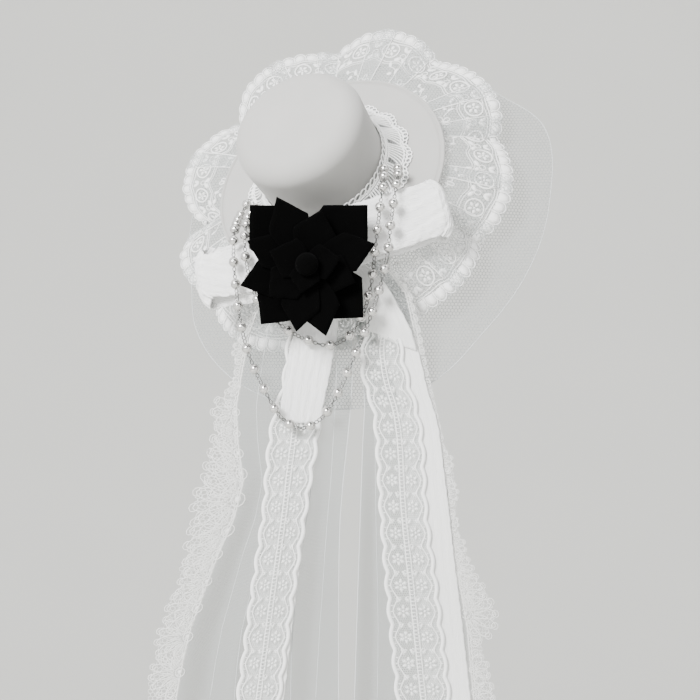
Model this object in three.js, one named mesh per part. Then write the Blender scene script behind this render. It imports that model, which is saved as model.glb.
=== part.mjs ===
// A mini top hat fascinator: a small white felt top hat with a crochet band, a gathered lace ruffle and
// a net disc under its brim, and a velvet rose at the brim's lower edge that holds ribbon loops, satin
// and lace tails, two lace-edged veil panels and two swags of pearls.
//
// Millimetres, +Z up, as the hat is worn. The origin is the centre of the brim's underside, where the
// hat sits on the head. -Y is the front, the side that faces the viewer.
import * as THREE from "three";

// Clearances: between pieces that touch, and the step from one hanging cloth layer to the next.
const TOUCH = 0.35;
const CLOTH = 1.0;
const LAYER = CLOTH + TOUCH;

// The hat. Its axis tips forward from upright and then aside, as it is worn.
const TIP_FORWARD = 50;
const TIP_ASIDE = 36.2;
const FELT = 1.8;
const BRIM_RADIUS = 73;
const CROWN_HEIGHT = 57;
const CROWN_TOP_RADIUS = 40;
const CROWN_WAIST_RADIUS = 38;
const CROWN_EDGE_ROUND = 6.5;
const BRIM_EDGE_ROUND = 0.4;
const HAT_SEGMENTS = 32;

// The crochet band round the foot of the crown.
const BAND_WALL = 1.0;
const BAND_RISE = 13;
const BAND_REACH = 14;
const BAND_SCALLOPS = 18;
const BAND_SCALLOP_DEPTH = 2.2;
const BAND_HOLE_LENGTH = 6.0;
const BAND_HOLE_WIDTH = 4.4;
const BAND_HOLE_PLACE = 0.62;
const BAND_FLARE = 1.6;
const BAND_SINK = 1.3;

// The lace ruffle and the net disc sewn under the brim.
const RUFFLE_INNER_RADIUS = 57;
const RUFFLE_LACE_WIDTH = 51;
const RUFFLE_FOLD_DEPTH = 7;
const RUFFLE_FOLD_MIDDLE = 0.7;
const RUFFLE_FOLD_CEILING = 0.2;
const RUFFLE_CREST_ROUND = 0.75;
const RUFFLE_DROOP_BEND = 1.5;
const RUFFLE_DROOP_LEAST = 2;
const RUFFLE_DROOP_MOST = 34;
const DROOP_ANGLE = -75;
const NET_INNER_RADIUS = 59;
const NET_CUT_WIDTH = 62;
const NET_EXTRA_DROOP = 12;
const NET_DROOP_BEND = 1.2;
const CLIP_LENGTH = 46;
const CLIP_WIDTH = 8;
const CLIP_DEPTH = 4;

// The rose and what it hides.
const ROSE_X = -14;
const ROSE_Z = -51;
const PETAL_REACH = 48;
const PETAL_PITCH = 1.3;
const PETAL_WALL = 0.8;
const PETAL_LEAN = 0.2;
const BLOOM_ASIDE = 1.4;
const BLOOM_DROP = 4.5;
const HEART_RADIUS = 6.5;
const HEART_DEPTH = 8;
const ROSE_CORE_RADIUS = 22;
const PAD_BACK_RADIUS = 7.5;
const PAD_BACK_DROP = 2.5;
const PAD_FRONT_RADIUS = 16;
const PAD_FRONT_Y = -48.9;

// The hanging cloth.
const GATHER_Z = -50;
const FALL = 256;
const RIBBON_WIDTH = 24;
const SHORT_RIBBON_WIDTH = 40;
const LACE_WIDTH = 30;
const VEIL_WIDTH = 100;
const VEIL_LACE_WIDTH = 20;
const LACE_SCALLOP = 15;
const LACE_SCALLOP_DEPTH = 1.9;
const FALL_BOW = 5;
const BOW_START = 0.2;
const PLEAT_DEPTH = 11;
const PLEAT_START = 0.3;
const PLEAT_SPREAD = 0.55;

// The ribbon loops.
const LOOP_RIBBON = 35;
const LOOP_RIGHT_LENGTH = 62;
const LOOP_LEFT_LENGTH = 45;
const LOOP_SWELL = 4.6;
const LOOP_TURN_SHARE = 0.375;

// The pearls and the wire links between them.
const PEARL = 6;
const WIRE = 1.3;
const PEARLS_LONG = 30;
const PEARLS_SHORT = 22;

const rad = THREE.MathUtils.degToRad;
const lerp = THREE.MathUtils.lerp;
const clamp01 = (x) => Math.min(Math.max(x, 0), 1);
const smooth = (x) => clamp01(x) ** 2 * (3 - 2 * clamp01(x));

// A smooth value from a table: rows are sorted by their first column, and a cubic runs through them.
function along(rows, at, column) {
  const last = rows.length - 1;
  let k = rows.findIndex((row) => row[0] > at) - 1;
  if (k < 0) k = at < rows[0][0] ? 0 : last - 1;
  const slope = (i) => {
    const a = rows[Math.max(i - 1, 0)];
    const b = rows[Math.min(i + 1, last)];
    return (b[column] - a[column]) / (b[0] - a[0]);
  };
  const [from, to] = [rows[k], rows[k + 1]];
  const span = to[0] - from[0];
  const t = clamp01((at - from[0]) / span);
  const [t2, t3] = [t * t, t * t * t];
  return (
    (2 * t3 - 3 * t2 + 1) * from[column] +
    (t3 - 2 * t2 + t) * span * slope(k) +
    (3 * t2 - 2 * t3) * to[column] +
    (t3 - t2) * span * slope(k + 1)
  );
}

// A solid from vertices and faces that are wound outwards.
function solid(vertices, faces) {
  const geometry = new THREE.BufferGeometry();
  const flat = vertices.flatMap((v) => [v.x, v.y, v.z]);
  geometry.setAttribute("position", new THREE.Float32BufferAttribute(flat, 3));
  geometry.setIndex(faces.flat());
  return geometry;
}

// A cloth of even thickness on the surface point(u, v), whose u runs round a ring if it is closed.
// place(i, j) gives a corner's u and v, and the cells that hole(i, j) names are left out.
function clothSolid({ point, across, down, thick = CLOTH, closed = false, place, hole = () => false }) {
  const step = 1e-3;
  const columns = closed ? across : across + 1;
  const corner = place ?? ((i, j) => [i / across, j / down]);
  const vertices = [];
  for (const side of [0.5, -0.5]) {
    for (let i = 0; i < columns; i++) {
      for (let j = 0; j <= down; j++) {
        const [u, v] = corner(i, j);
        const [u0, u1] = closed ? [u - step, u + step] : [Math.max(u - step, 0), Math.min(u + step, 1)];
        const du = point(u1, v).sub(point(u0, v));
        const dv = point(u, Math.min(v + step, 1)).sub(point(u, Math.max(v - step, 0)));
        const normal = du.cross(dv).normalize();
        vertices.push(point(u, v).addScaledVector(normal, side * thick));
      }
    }
  }
  const top = (i, j) => (i % columns) * (down + 1) + j;
  const under = (i, j) => top(i, j) + columns * (down + 1);
  const faces = [];
  const quad = (a, b, c, d) => faces.push([a, b, c], [a, c, d]);
  const filled = (i, j) => {
    const column = closed ? (i + across) % across : i;
    return column >= 0 && column < across && j >= 0 && j < down && !hole(column, j);
  };
  for (let i = 0; i < across; i++) {
    for (let j = 0; j < down; j++) {
      if (!filled(i, j)) continue;
      const [k, m] = [i + 1, j + 1];
      quad(top(i, j), top(k, j), top(k, m), top(i, m));
      quad(under(i, j), under(i, m), under(k, m), under(k, j));
      if (!filled(i, j - 1)) quad(under(i, j), under(k, j), top(k, j), top(i, j));
      if (!filled(i, m)) quad(under(k, m), under(i, m), top(i, m), top(k, m));
      if (!filled(i - 1, j)) quad(under(i, m), under(i, j), top(i, j), top(i, m));
      if (!filled(k, j)) quad(under(k, j), under(k, m), top(k, m), top(k, j));
    }
  }
  return solid(vertices, faces);
}

const part = new THREE.Group();
const hat = new THREE.Group();
hat.rotation.set(rad(TIP_FORWARD), rad(-TIP_ASIDE), 0, "YXZ");
part.add(hat);

const FINISHES = {
  felt: { color: 0xe9e9e6, roughness: 0.95, metalness: 0 },
  crochet: { color: 0xf2f2ef, roughness: 0.85, metalness: 0 },
  lace: { color: 0xf0f0ee, roughness: 0.8, metalness: 0 },
  net: { color: 0xe6e8e8, roughness: 0.7, metalness: 0 },
  velvet: { color: 0x060607, roughness: 0.95, metalness: 0 },
  ribbon: { color: 0xf4f4f2, roughness: 0.55, metalness: 0 },
  pearl: { color: 0xe4e3e0, roughness: 0.2, metalness: 0.1 },
  steel: { color: 0xb8babd, roughness: 0.35, metalness: 1 },
};

function add(name, geometry, finish, group = part) {
  const mesh = new THREE.Mesh(geometry, new THREE.MeshStandardMaterial(FINISHES[finish]));
  mesh.name = name;
  group.add(mesh);
}

// The felt crown, open below, with a softly rounded tip.
function feltCrown() {
  const round = CROWN_EDGE_ROUND;
  const inside = CROWN_EDGE_ROUND - FELT;
  const arc = (radius, steps) => {
    const points = [];
    for (let k = 0; k <= steps; k++) {
      const turn = (k / steps) * (Math.PI / 2);
      points.push(
        new THREE.Vector2(
          CROWN_TOP_RADIUS - round + radius * Math.cos(turn),
          CROWN_HEIGHT - round + radius * Math.sin(turn),
        ),
      );
    }
    return points;
  };
  const waistHeight = BAND_RISE + FELT;
  const profile = [
    new THREE.Vector2(0, CROWN_HEIGHT - FELT),
    ...arc(inside, 2).reverse(),
    new THREE.Vector2(CROWN_WAIST_RADIUS - FELT, waistHeight),
    new THREE.Vector2(CROWN_WAIST_RADIUS - FELT, 0),
    new THREE.Vector2(CROWN_WAIST_RADIUS, 0),
    new THREE.Vector2(CROWN_WAIST_RADIUS, waistHeight),
    ...arc(round, 3),
    new THREE.Vector2(0, CROWN_HEIGHT),
  ];
  return new THREE.LatheGeometry(profile, HAT_SEGMENTS).rotateX(Math.PI / 2);
}

// The flat felt brim, sewn to the crown's foot under the band.
function feltBrim() {
  const foot = CROWN_WAIST_RADIUS + TOUCH;
  const profile = [
    new THREE.Vector2(foot, 0),
    new THREE.Vector2(BRIM_RADIUS - BRIM_EDGE_ROUND, 0),
    new THREE.Vector2(BRIM_RADIUS, FELT * 0.5),
    new THREE.Vector2(BRIM_RADIUS - BRIM_EDGE_ROUND, FELT),
    new THREE.Vector2(foot, FELT),
    new THREE.Vector2(foot, 0),
  ];
  return new THREE.LatheGeometry(profile, HAT_SEGMENTS).rotateX(Math.PI / 2);
}

// The crochet band: it stands against the crown and flares out over the brim to a scalloped edge.
function bandPoint(u, v) {
  const turn = u * 2 * Math.PI;
  const scallop = Math.abs(Math.sin((turn * BAND_SCALLOPS) / 2));
  const foot = FELT + TOUCH + BAND_WALL / 2;
  const reach = BAND_REACH - BAND_SCALLOP_DEPTH * (1 - scallop);
  const radius = CROWN_WAIST_RADIUS + TOUCH + BAND_WALL / 2 + reach * v ** BAND_FLARE;
  const height = foot + BAND_RISE * (1 - v) ** BAND_SINK;
  return new THREE.Vector3(radius * Math.cos(turn), radius * Math.sin(turn), height);
}

// Each scallop has four columns of corners, and the two cells in its middle are left out: a long
// six-sided hole, whose tips lie on the scallop's middle line.
function crownLaceBand() {
  const perScallop = 4;
  const middle = bandPoint(0.5 / BAND_SCALLOPS, BAND_HOLE_PLACE);
  const scallopWidth = (2 * Math.PI * Math.hypot(middle.x, middle.y)) / BAND_SCALLOPS;
  const halfWidth = BAND_HOLE_WIDTH / 2 / scallopWidth;
  const halfLength = BAND_HOLE_LENGTH / 2 / Math.hypot(BAND_RISE, BAND_REACH);
  const columns = [0, 0.5 - halfWidth, 0.5, 0.5 + halfWidth];
  const shares = [0.75, 0.5, 1, 0.5];
  const place = (i, j) => {
    const k = i % perScallop;
    const away = halfLength * shares[k];
    const rows = [0, BAND_HOLE_PLACE - away, BAND_HOLE_PLACE + away, 1];
    return [(Math.floor(i / perScallop) + columns[k]) / BAND_SCALLOPS, rows[j]];
  };
  return clothSolid({
    point: (u, v) => bandPoint(-u, v),
    across: BAND_SCALLOPS * perScallop,
    down: 3,
    thick: BAND_WALL,
    closed: true,
    place,
    hole: (i, j) => j === 1 && [1, 2].includes(i % perScallop),
  });
}

// The ruffle's folds, anticlockwise seen from the crown. Columns: angle of the valley, reach in the
// valley, reach on the crest that follows it, both as shares of the lace's width.
const RUFFLE_FOLDS = [
  [-97, 0.78, 0.9],
  [-59, 0.66, 0.95],
  [-16, 0.82, 1.09],
  [25, 1.02, 1.26],
  [61, 1.03, 1.16],
  [104, 0.73, 0.99],
  [152, 0.6, 1.0],
  [185, 0.86, 1.08],
  [228, 0.84, 0.98],
];

function ruffleFold(degrees) {
  const first = RUFFLE_FOLDS[0][0];
  const at = first + ((((degrees - first) % 360) + 360) % 360);
  let k = RUFFLE_FOLDS.length - 1;
  while (RUFFLE_FOLDS[k][0] > at) k--;
  const from = RUFFLE_FOLDS[k];
  const next = RUFFLE_FOLDS[(k + 1) % RUFFLE_FOLDS.length];
  const end = k + 1 < RUFFLE_FOLDS.length ? next[0] : next[0] + 360;
  const t = (at - from[0]) / (end - from[0]);
  const crest = Math.sin(Math.PI * t) ** RUFFLE_CREST_ROUND;
  return { reach: lerp(lerp(from[1], next[1], t), from[2], crest), crest };
}

// How far the cloth under the brim has sunk below the brim's plane.
function droop(degrees) {
  const middle = (RUFFLE_DROOP_MOST + RUFFLE_DROOP_LEAST) / 2;
  const swing = (RUFFLE_DROOP_MOST - RUFFLE_DROOP_LEAST) / 2;
  return middle + swing * Math.cos(rad(degrees - DROOP_ANGLE));
}

function rufflePoint(u, v) {
  const turn = u * 2 * Math.PI;
  const degrees = u * 360;
  const fold = ruffleFold(degrees);
  const radius = RUFFLE_INNER_RADIUS + RUFFLE_LACE_WIDTH * fold.reach * v;
  const share = Math.min(fold.crest - RUFFLE_FOLD_MIDDLE, RUFFLE_FOLD_CEILING);
  const rise = RUFFLE_FOLD_DEPTH * share * v;
  const height = rise - (CLOTH / 2 + TOUCH) - droop(degrees) * v ** RUFFLE_DROOP_BEND;
  return new THREE.Vector3(radius * Math.cos(turn), radius * Math.sin(turn), height);
}

// The net disc lies under the ruffle. Columns: angle, reach as a share of the net's cut width.
const NET_REACH = [
  [-120, 1.2],
  [-100, 1.16],
  [-80, 1.0],
  [-37, 1.0],
  [-12, 1.1],
  [6, 0.95],
  [52, 0.78],
  [99, 0.8],
  [137, 0.8],
  [165, 0.84],
  [180, 0.99],
  [198, 1.1],
  [218, 1.16],
  [240, 1.2],
];

function netPoint(u, v) {
  const degrees = ((((u * 360 + 120) % 360) + 360) % 360) - 120;
  const turn = u * 2 * Math.PI;
  const reach = NET_CUT_WIDTH * along(NET_REACH, degrees, 1);
  const radius = NET_INNER_RADIUS + reach * v;
  const ruffle = ruffleFold(degrees);
  const share = clamp01((radius - RUFFLE_INNER_RADIUS) / (RUFFLE_LACE_WIDTH * ruffle.reach));
  const above = droop(degrees) * share ** RUFFLE_DROOP_BEND + RUFFLE_FOLD_DEPTH * share;
  const seat = CLOTH * 1.5 + TOUCH * 3.5;
  const height = -seat - above - NET_EXTRA_DROOP * v ** NET_DROOP_BEND;
  return new THREE.Vector3(radius * Math.cos(turn), radius * Math.sin(turn), height);
}

// The clip that grips the hair: one plain piece under the brim.
function hairClip() {
  const half = CLIP_WIDTH / 2;
  const outline = new THREE.Shape();
  outline.moveTo(-CLIP_LENGTH / 2, 0);
  outline.lineTo(CLIP_LENGTH / 2, 0);
  const lip = CLIP_DEPTH * 0.45;
  const heel = CLIP_LENGTH * 0.3;
  outline.lineTo(CLIP_LENGTH / 2, -lip);
  outline.lineTo(-heel, -CLIP_DEPTH);
  outline.lineTo(-CLIP_LENGTH / 2, -CLIP_DEPTH);
  const bar = new THREE.ExtrudeGeometry(outline, { depth: CLIP_WIDTH, bevelEnabled: false });
  bar.rotateX(Math.PI / 2);
  bar.translate(0, half + (CROWN_WAIST_RADIUS + RUFFLE_INNER_RADIUS) / 2, -TOUCH);
  return bar;
}

add("felt_crown", feltCrown(), "felt", hat);
add("felt_brim", feltBrim(), "felt", hat);
add("crown_lace_band", crownLaceBand(), "crochet", hat);
const cutsPerFold = 9;
const ruffle = { point: rufflePoint, across: RUFFLE_FOLDS.length * cutsPerFold, down: 3, closed: true };
add("lace_ruffle", clothSolid(ruffle), "lace", hat);
add("net_disc", clothSolid({ point: netPoint, across: 40, down: 2, closed: true }), "net", hat);
add("hair_clip", hairClip(), "steel", hat);

// The padded seat between the sloping brim and the upright front of the ribbon stack.
function rosePad() {
  const sides = 12;
  const up = new THREE.Vector3(0, 0, 1).applyEuler(hat.rotation);
  const front = [];
  const back = [];
  for (let k = 0; k < sides; k++) {
    const turn = (k / sides) * 2 * Math.PI;
    const [c, s] = [Math.cos(turn), Math.sin(turn)];
    const [frontX, frontZ] = [ROSE_X + PAD_FRONT_RADIUS * c, ROSE_Z + PAD_FRONT_RADIUS * s];
    front.push(new THREE.Vector3(frontX, PAD_FRONT_Y, frontZ));
    const [x, z] = [ROSE_X + PAD_BACK_RADIUS * c, ROSE_Z - PAD_BACK_DROP + PAD_BACK_RADIUS * s];
    back.push(new THREE.Vector3(x, (FELT + TOUCH - x * up.x - z * up.z) / up.y, z));
  }
  const faces = [];
  for (let k = 0; k < sides; k++) {
    const next = (k + 1) % sides;
    faces.push([k, sides + next, next], [k, sides + k, sides + next]);
    if (k > 0 && k < sides - 1) faces.push([0, k, k + 1], [sides, sides + k + 1, sides + k]);
  }
  return solid([...front, ...back], faces);
}

// How far forward a layer hangs: all layers share one gentle bow, so that they lie on each other
// without touching. Layer 0 is the veil, next to the pad.
function hangingY(share, layer) {
  const bow = FALL_BOW * Math.sin(Math.PI * clamp01((share - BOW_START) / (1 - BOW_START))) ** 2;
  return PAD_FRONT_Y - TOUCH - CLOTH / 2 - LAYER * layer - bow;
}

// A hanging strip between two edges, each a function of the share of the fall. Its pleats, if it has
// any, fold away to the back.
function hanging({ from, to, left, right, layer, across, down, pleats = 0 }) {
  const point = (u, v) => {
    const share = lerp(to, from, v);
    const x = lerp(left(share), right(share), u);
    const opened = smooth((share - PLEAT_START) / PLEAT_SPREAD);
    const pleat = PLEAT_DEPTH * opened * Math.sin(Math.PI * pleats * u) ** 2;
    return new THREE.Vector3(x, hangingY(share, layer) + pleat, GATHER_Z - FALL * share);
  };
  return clothSolid({ point, across, down });
}

// Tails. Columns: share of the fall, middle as a share of the fall, width as a share of the ribbon.
const SHORT_LEFT = [
  [0.0, -0.05, 0.5],
  [0.136, -0.029, 0.6],
  [0.23, -0.045, 0.64],
  [0.342, -0.064, 0.6],
  [0.39, -0.071, 0.59],
];
const SHORT_RIGHT = [
  [0.0, 0.035, 0.3],
  [0.055, 0.088, 0.4],
  [0.118, 0.118, 0.5],
  [0.158, 0.129, 0.63],
  [0.197, 0.133, 0.74],
  [0.215, 0.138, 0.74],
];
const SATIN_LEFT = [
  [0.0, -0.045, 0.8],
  [0.136, -0.038, 0.86],
  [0.275, -0.061, 0.91],
  [0.41, -0.072, 0.95],
  [0.567, -0.096, 0.95],
  [0.75, -0.12, 0.96],
  [1.0, -0.15, 0.96],
];
const SATIN_RIGHT = [
  [0.0, 0.04, 0.5],
  [0.055, 0.085, 0.7],
  [0.096, 0.11, 0.8],
  [0.141, 0.13, 0.84],
  [0.197, 0.15, 0.92],
  [0.248, 0.167, 0.86],
  [0.291, 0.181, 0.76],
  [0.369, 0.199, 0.86],
  [0.459, 0.208, 0.95],
  [0.661, 0.228, 1.02],
  [0.88, 0.253, 1.06],
  [1.0, 0.264, 1.1],
];
const LACE_LEFT = [
  [0.0, -0.05, 0.5],
  [0.136, -0.056, 0.65],
  [0.275, -0.062, 0.8],
  [0.354, -0.074, 0.97],
  [0.41, -0.082, 1.01],
  [0.488, -0.092, 0.95],
  [0.567, -0.101, 0.9],
  [0.746, -0.127, 0.89],
  [1.0, -0.162, 0.89],
];
const LACE_RIGHT = [
  [0.06, 0.08, 0.5],
  [0.136, 0.119, 0.65],
  [0.21, 0.116, 0.85],
  [0.275, 0.125, 0.94],
  [0.342, 0.145, 0.93],
  [0.41, 0.155, 0.97],
  [0.567, 0.164, 0.96],
  [0.757, 0.184, 1.05],
  [1.0, 0.21, 1.1],
];

// The veil's edges. Columns: share of the fall, place as a share of the veil's width.
const VEIL_LEFT_SEAM = [
  [0.0, -0.3],
  [0.096, -0.39],
  [0.163, -0.45],
  [0.266, -0.5],
  [0.342, -0.53],
  [0.41, -0.52],
  [0.484, -0.49],
  [0.53, -0.49],
  [0.567, -0.52],
  [0.634, -0.6],
  [0.768, -0.73],
  [0.858, -0.81],
  [1.0, -0.88],
];
const VEIL_LEFT_INNER = [
  [0.0, 0.06],
  [0.096, 0.115],
  [0.163, 0.12],
  [0.266, 0.13],
  [0.41, 0.1],
  [0.567, 0.06],
  [0.768, 0.049],
  [1.0, 0.049],
];
const VEIL_RIGHT_INNER = [
  [0.0, 0.07],
  [0.096, 0.125],
  [0.163, 0.15],
  [0.291, 0.2],
  [0.387, 0.19],
  [0.524, 0.178],
  [0.798, 0.155],
  [1.0, 0.14],
];
const VEIL_RIGHT_SEAM = [
  [0.0, 0.27],
  [0.04, 0.39],
  [0.096, 0.435],
  [0.163, 0.475],
  [0.291, 0.525],
  [0.387, 0.59],
  [0.457, 0.625],
  [0.524, 0.64],
  [0.593, 0.668],
  [0.694, 0.71],
  [0.798, 0.77],
  [0.865, 0.785],
  [1.0, 0.82],
];

// The veil's lace edge. Columns: share of the fall, width as a share of the lace.
const VEIL_LACE_LEFT = [
  [0.12, 0.2],
  [0.174, 0.29],
  [0.206, 0.36],
  [0.266, 0.26],
  [0.304, 0.34],
  [0.347, 0.69],
  [0.387, 0.6],
  [0.439, 0.85],
  [0.484, 1.05],
  [0.542, 1.3],
  [0.58, 1.05],
  [0.611, 1.12],
  [0.65, 0.85],
  [0.69, 1.0],
  [0.73, 0.8],
  [0.768, 0.95],
  [0.81, 0.78],
  [0.85, 0.9],
  [0.9, 0.76],
  [0.948, 0.9],
  [1.0, 0.8],
];
const VEIL_LACE_RIGHT = [
  [0.0, 0.3],
  [0.04, 0.2],
  [0.096, 0.15],
  [0.163, 0.18],
  [0.275, 0.26],
  [0.387, 0.24],
  [0.43, 0.22],
  [0.457, 0.34],
  [0.524, 0.37],
  [0.593, 0.26],
  [0.645, 0.36],
  [0.694, 0.46],
  [0.746, 0.67],
  [0.798, 0.89],
  [0.836, 0.6],
  [0.865, 0.4],
  [0.925, 0.5],
  [1.0, 0.6],
];

function tail(rows, width, layer, down, scallop = () => 0) {
  const half = (share) => (width * along(rows, share, 2)) / 2;
  const middle = (share) => FALL * along(rows, share, 1);
  return hanging({
    from: rows[0][0],
    to: rows[rows.length - 1][0],
    left: (share) => middle(share) - half(share) + scallop(share),
    right: (share) => middle(share) + half(share) - scallop(share),
    layer,
    across: 1,
    down,
  });
}

// The lace's edge is drawn in between its scallops.
function laceScallop(share) {
  const arch = Math.abs(Math.sin((Math.PI * share * FALL) / LACE_SCALLOP));
  return LACE_SCALLOP_DEPTH * (1 - arch);
}

function scallopCuts(rows) {
  const length = (rows[rows.length - 1][0] - rows[0][0]) * FALL;
  return Math.round((length * 2) / LACE_SCALLOP);
}

add("rose_pad", rosePad(), "felt");
add("satin_tail_left", tail(SATIN_LEFT, RIBBON_WIDTH, 1, 12), "ribbon");
add("satin_tail_right", tail(SATIN_RIGHT, RIBBON_WIDTH, 1, 16), "ribbon");
add("lace_tail_left", tail(LACE_LEFT, LACE_WIDTH, 2, scallopCuts(LACE_LEFT), laceScallop), "lace");
add("lace_tail_right", tail(LACE_RIGHT, LACE_WIDTH, 2, scallopCuts(LACE_RIGHT), laceScallop), "lace");
add("short_tail_left", tail(SHORT_LEFT, SHORT_RIBBON_WIDTH, 3, 5), "ribbon");
add("short_tail_right", tail(SHORT_RIGHT, SHORT_RIBBON_WIDTH, 3, 6), "ribbon");

// A veil's edge runs straight from row to row, and the lace is sewn along that same line.
const VEIL_ROWS = 12;
const seam = (rows) => (share) => {
  const at = Math.min(Math.floor(clamp01(share) * VEIL_ROWS), VEIL_ROWS - 1);
  const edge = (row) => VEIL_WIDTH * along(rows, row / VEIL_ROWS, 1);
  return lerp(edge(at), edge(at + 1), share * VEIL_ROWS - at);
};
const veilSide = { from: 0, to: 1, layer: 0, across: 6, pleats: 3, down: VEIL_ROWS };
const leftSeam = seam(VEIL_LEFT_SEAM);
const rightSeam = seam(VEIL_RIGHT_SEAM);
add("veil_left", hanging({ ...veilSide, left: leftSeam, right: seam(VEIL_LEFT_INNER) }), "net");
add("veil_right", hanging({ ...veilSide, left: seam(VEIL_RIGHT_INNER), right: rightSeam }), "net");

const laceWidth = (rows) => (share) => VEIL_LACE_WIDTH * along(rows, share, 1);
const leftLace = laceWidth(VEIL_LACE_LEFT);
const rightLace = laceWidth(VEIL_LACE_RIGHT);
add(
  "veil_lace_left",
  hanging({
    from: VEIL_LACE_LEFT[0][0],
    to: 1,
    layer: 0,
    across: 1,
    down: 24,
    left: (share) => leftSeam(share) - TOUCH - leftLace(share),
    right: (share) => leftSeam(share) - TOUCH,
  }),
  "lace",
);
add(
  "veil_lace_right",
  hanging({
    from: 0,
    to: 1,
    layer: 0,
    across: 1,
    down: 24,
    left: (share) => rightSeam(share) + TOUCH,
    right: (share) => rightSeam(share) + TOUCH + rightLace(share),
  }),
  "lace",
);

// The rose's core: a dished disc in front of the ribbon stack, as thick as the pearls that pass
// behind the petals.
const CORE_BACK_Y = PAD_FRONT_Y - TOUCH - LAYER * 4;
const CORE_DEPTH = PEARL + TOUCH * 2;
const CORE_FRONT_Y = CORE_BACK_Y - CORE_DEPTH;

function roseCore() {
  const segments = 14;
  const rim = CORE_DEPTH * 0.3;
  const flat = ROSE_CORE_RADIUS * 0.6;
  const profile = [
    new THREE.Vector2(0, 0),
    new THREE.Vector2(ROSE_CORE_RADIUS, 0),
    new THREE.Vector2(ROSE_CORE_RADIUS, rim),
    new THREE.Vector2(flat, CORE_DEPTH),
    new THREE.Vector2(0, CORE_DEPTH),
  ];
  const core = new THREE.LatheGeometry(profile, segments);
  core.rotateX(Math.PI);
  core.translate(ROSE_X, CORE_BACK_Y, ROSE_Z);
  return core;
}

// Petals from the back of the rose to its heart. They all lean forward alike, each a step in front of
// the one behind it, and the bloom is sewn on a little low on its core. Columns: angle of the tip,
// reach as a share of PETAL_REACH, half the angle that the petal spreads over.
const BLOOM_X = ROSE_X + BLOOM_ASIDE;
const BLOOM_Z = ROSE_Z - BLOOM_DROP;
const PETALS = [
  [133.5, 0.98, 52],
  [45, 1.0, 52],
  [-43, 0.9, 52],
  [-128, 0.88, 52],
  [-163, 0.82, 42],
  [158, 0.76, 42],
  [114, 0.87, 42],
  [76, 0.66, 58],
  [17, 0.83, 42],
  [-20, 0.6, 58],
  [-75, 0.86, 42],
  [-99, 0.79, 42],
  [-140, 0.58, 58],
  [160, 0.46, 82],
  [10, 0.4, 82],
  [-100, 0.34, 82],
];
const PETAL_SHOULDER = 0.7;
const PETAL_ROOT = 0.12;
const PETAL_NARROWING = 0.42;

function petal([angle, reach, spread], index) {
  const tip = PETAL_REACH * reach;
  const point = (u, v) => {
    const sideways = 2 * u - 1;
    const outer = tip * (1 - (1 - PETAL_SHOULDER) * Math.abs(sideways));
    const radius = lerp(tip * PETAL_ROOT, outer, v);
    const turn = rad(angle + spread * sideways * (1 - PETAL_NARROWING * v));
    const forward = TOUCH + PETAL_WALL / 2 + index * PETAL_PITCH;
    const y = CORE_FRONT_Y - forward - PETAL_LEAN * (radius - PETAL_REACH * PETAL_ROOT);
    const [x, z] = [BLOOM_X + radius * Math.cos(turn), BLOOM_Z + radius * Math.sin(turn)];
    return new THREE.Vector3(x, y, z);
  };
  return clothSolid({ point, across: 4, down: 1, thick: PETAL_WALL });
}

function roseHeart() {
  const roots = PETAL_LEAN * PETAL_REACH * PETAL_ROOT;
  const back = CORE_FRONT_Y - TOUCH - PETALS.length * PETAL_PITCH + roots;
  const segments = 8;
  const seat = HEART_RADIUS * 0.7;
  const bulge = HEART_DEPTH * 0.4;
  const [tipRadius, tipDepth] = [HEART_RADIUS * 0.55, HEART_DEPTH * 0.9];
  const profile = [
    new THREE.Vector2(0, 0),
    new THREE.Vector2(seat, PETAL_LEAN * HEART_RADIUS),
    new THREE.Vector2(HEART_RADIUS, bulge),
    new THREE.Vector2(tipRadius, tipDepth),
    new THREE.Vector2(0, HEART_DEPTH),
  ];
  const heart = new THREE.LatheGeometry(profile, segments);
  heart.rotateX(Math.PI);
  heart.translate(BLOOM_X, back, BLOOM_Z);
  return heart;
}

add("rose_core", roseCore(), "velvet");
PETALS.forEach((row, index) => {
  add(`rose_petal_${String(index + 1).padStart(2, "0")}`, petal(row, index), "velvet");
});
add("rose_heart", roseHeart(), "velvet");

// A ribbon loop: one length of ribbon laid back on itself, its two ends together behind the rose.
function bowLoop({ root, outward, length }) {
  const out = outward.clone().normalize();
  const wide = new THREE.Vector3(-out.z, 0, out.x).normalize();
  if (wide.z < 0) wide.negate();
  const front = out.clone().cross(wide).normalize();
  if (front.y > 0) front.negate();
  const straight = (1 - LOOP_TURN_SHARE) / 2;
  const rest = CLOTH / 2 + TOUCH / 2;
  const point = (u, v) => {
    const half = Math.min(u, 1 - u);
    const side = u < 0.5 ? -1 : 1;
    let s = 0;
    let d = 0;
    if (half <= straight) {
      const t = half / straight;
      s = (length - LOOP_SWELL) * t;
      d = side * lerp(rest, LOOP_SWELL, smooth(t));
    } else {
      const turn = ((half - straight) / (0.5 - straight)) * (Math.PI / 2);
      s = length - LOOP_SWELL + LOOP_SWELL * Math.sin(turn);
      d = side * LOOP_SWELL * Math.cos(turn);
    }
    const across = (v - 0.5) * LOOP_RIBBON;
    return root
      .clone()
      .addScaledVector(out, s)
      .addScaledVector(front, d)
      .addScaledVector(wide, across);
  };
  return clothSolid({ point, across: 16, down: 1 });
}

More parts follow.
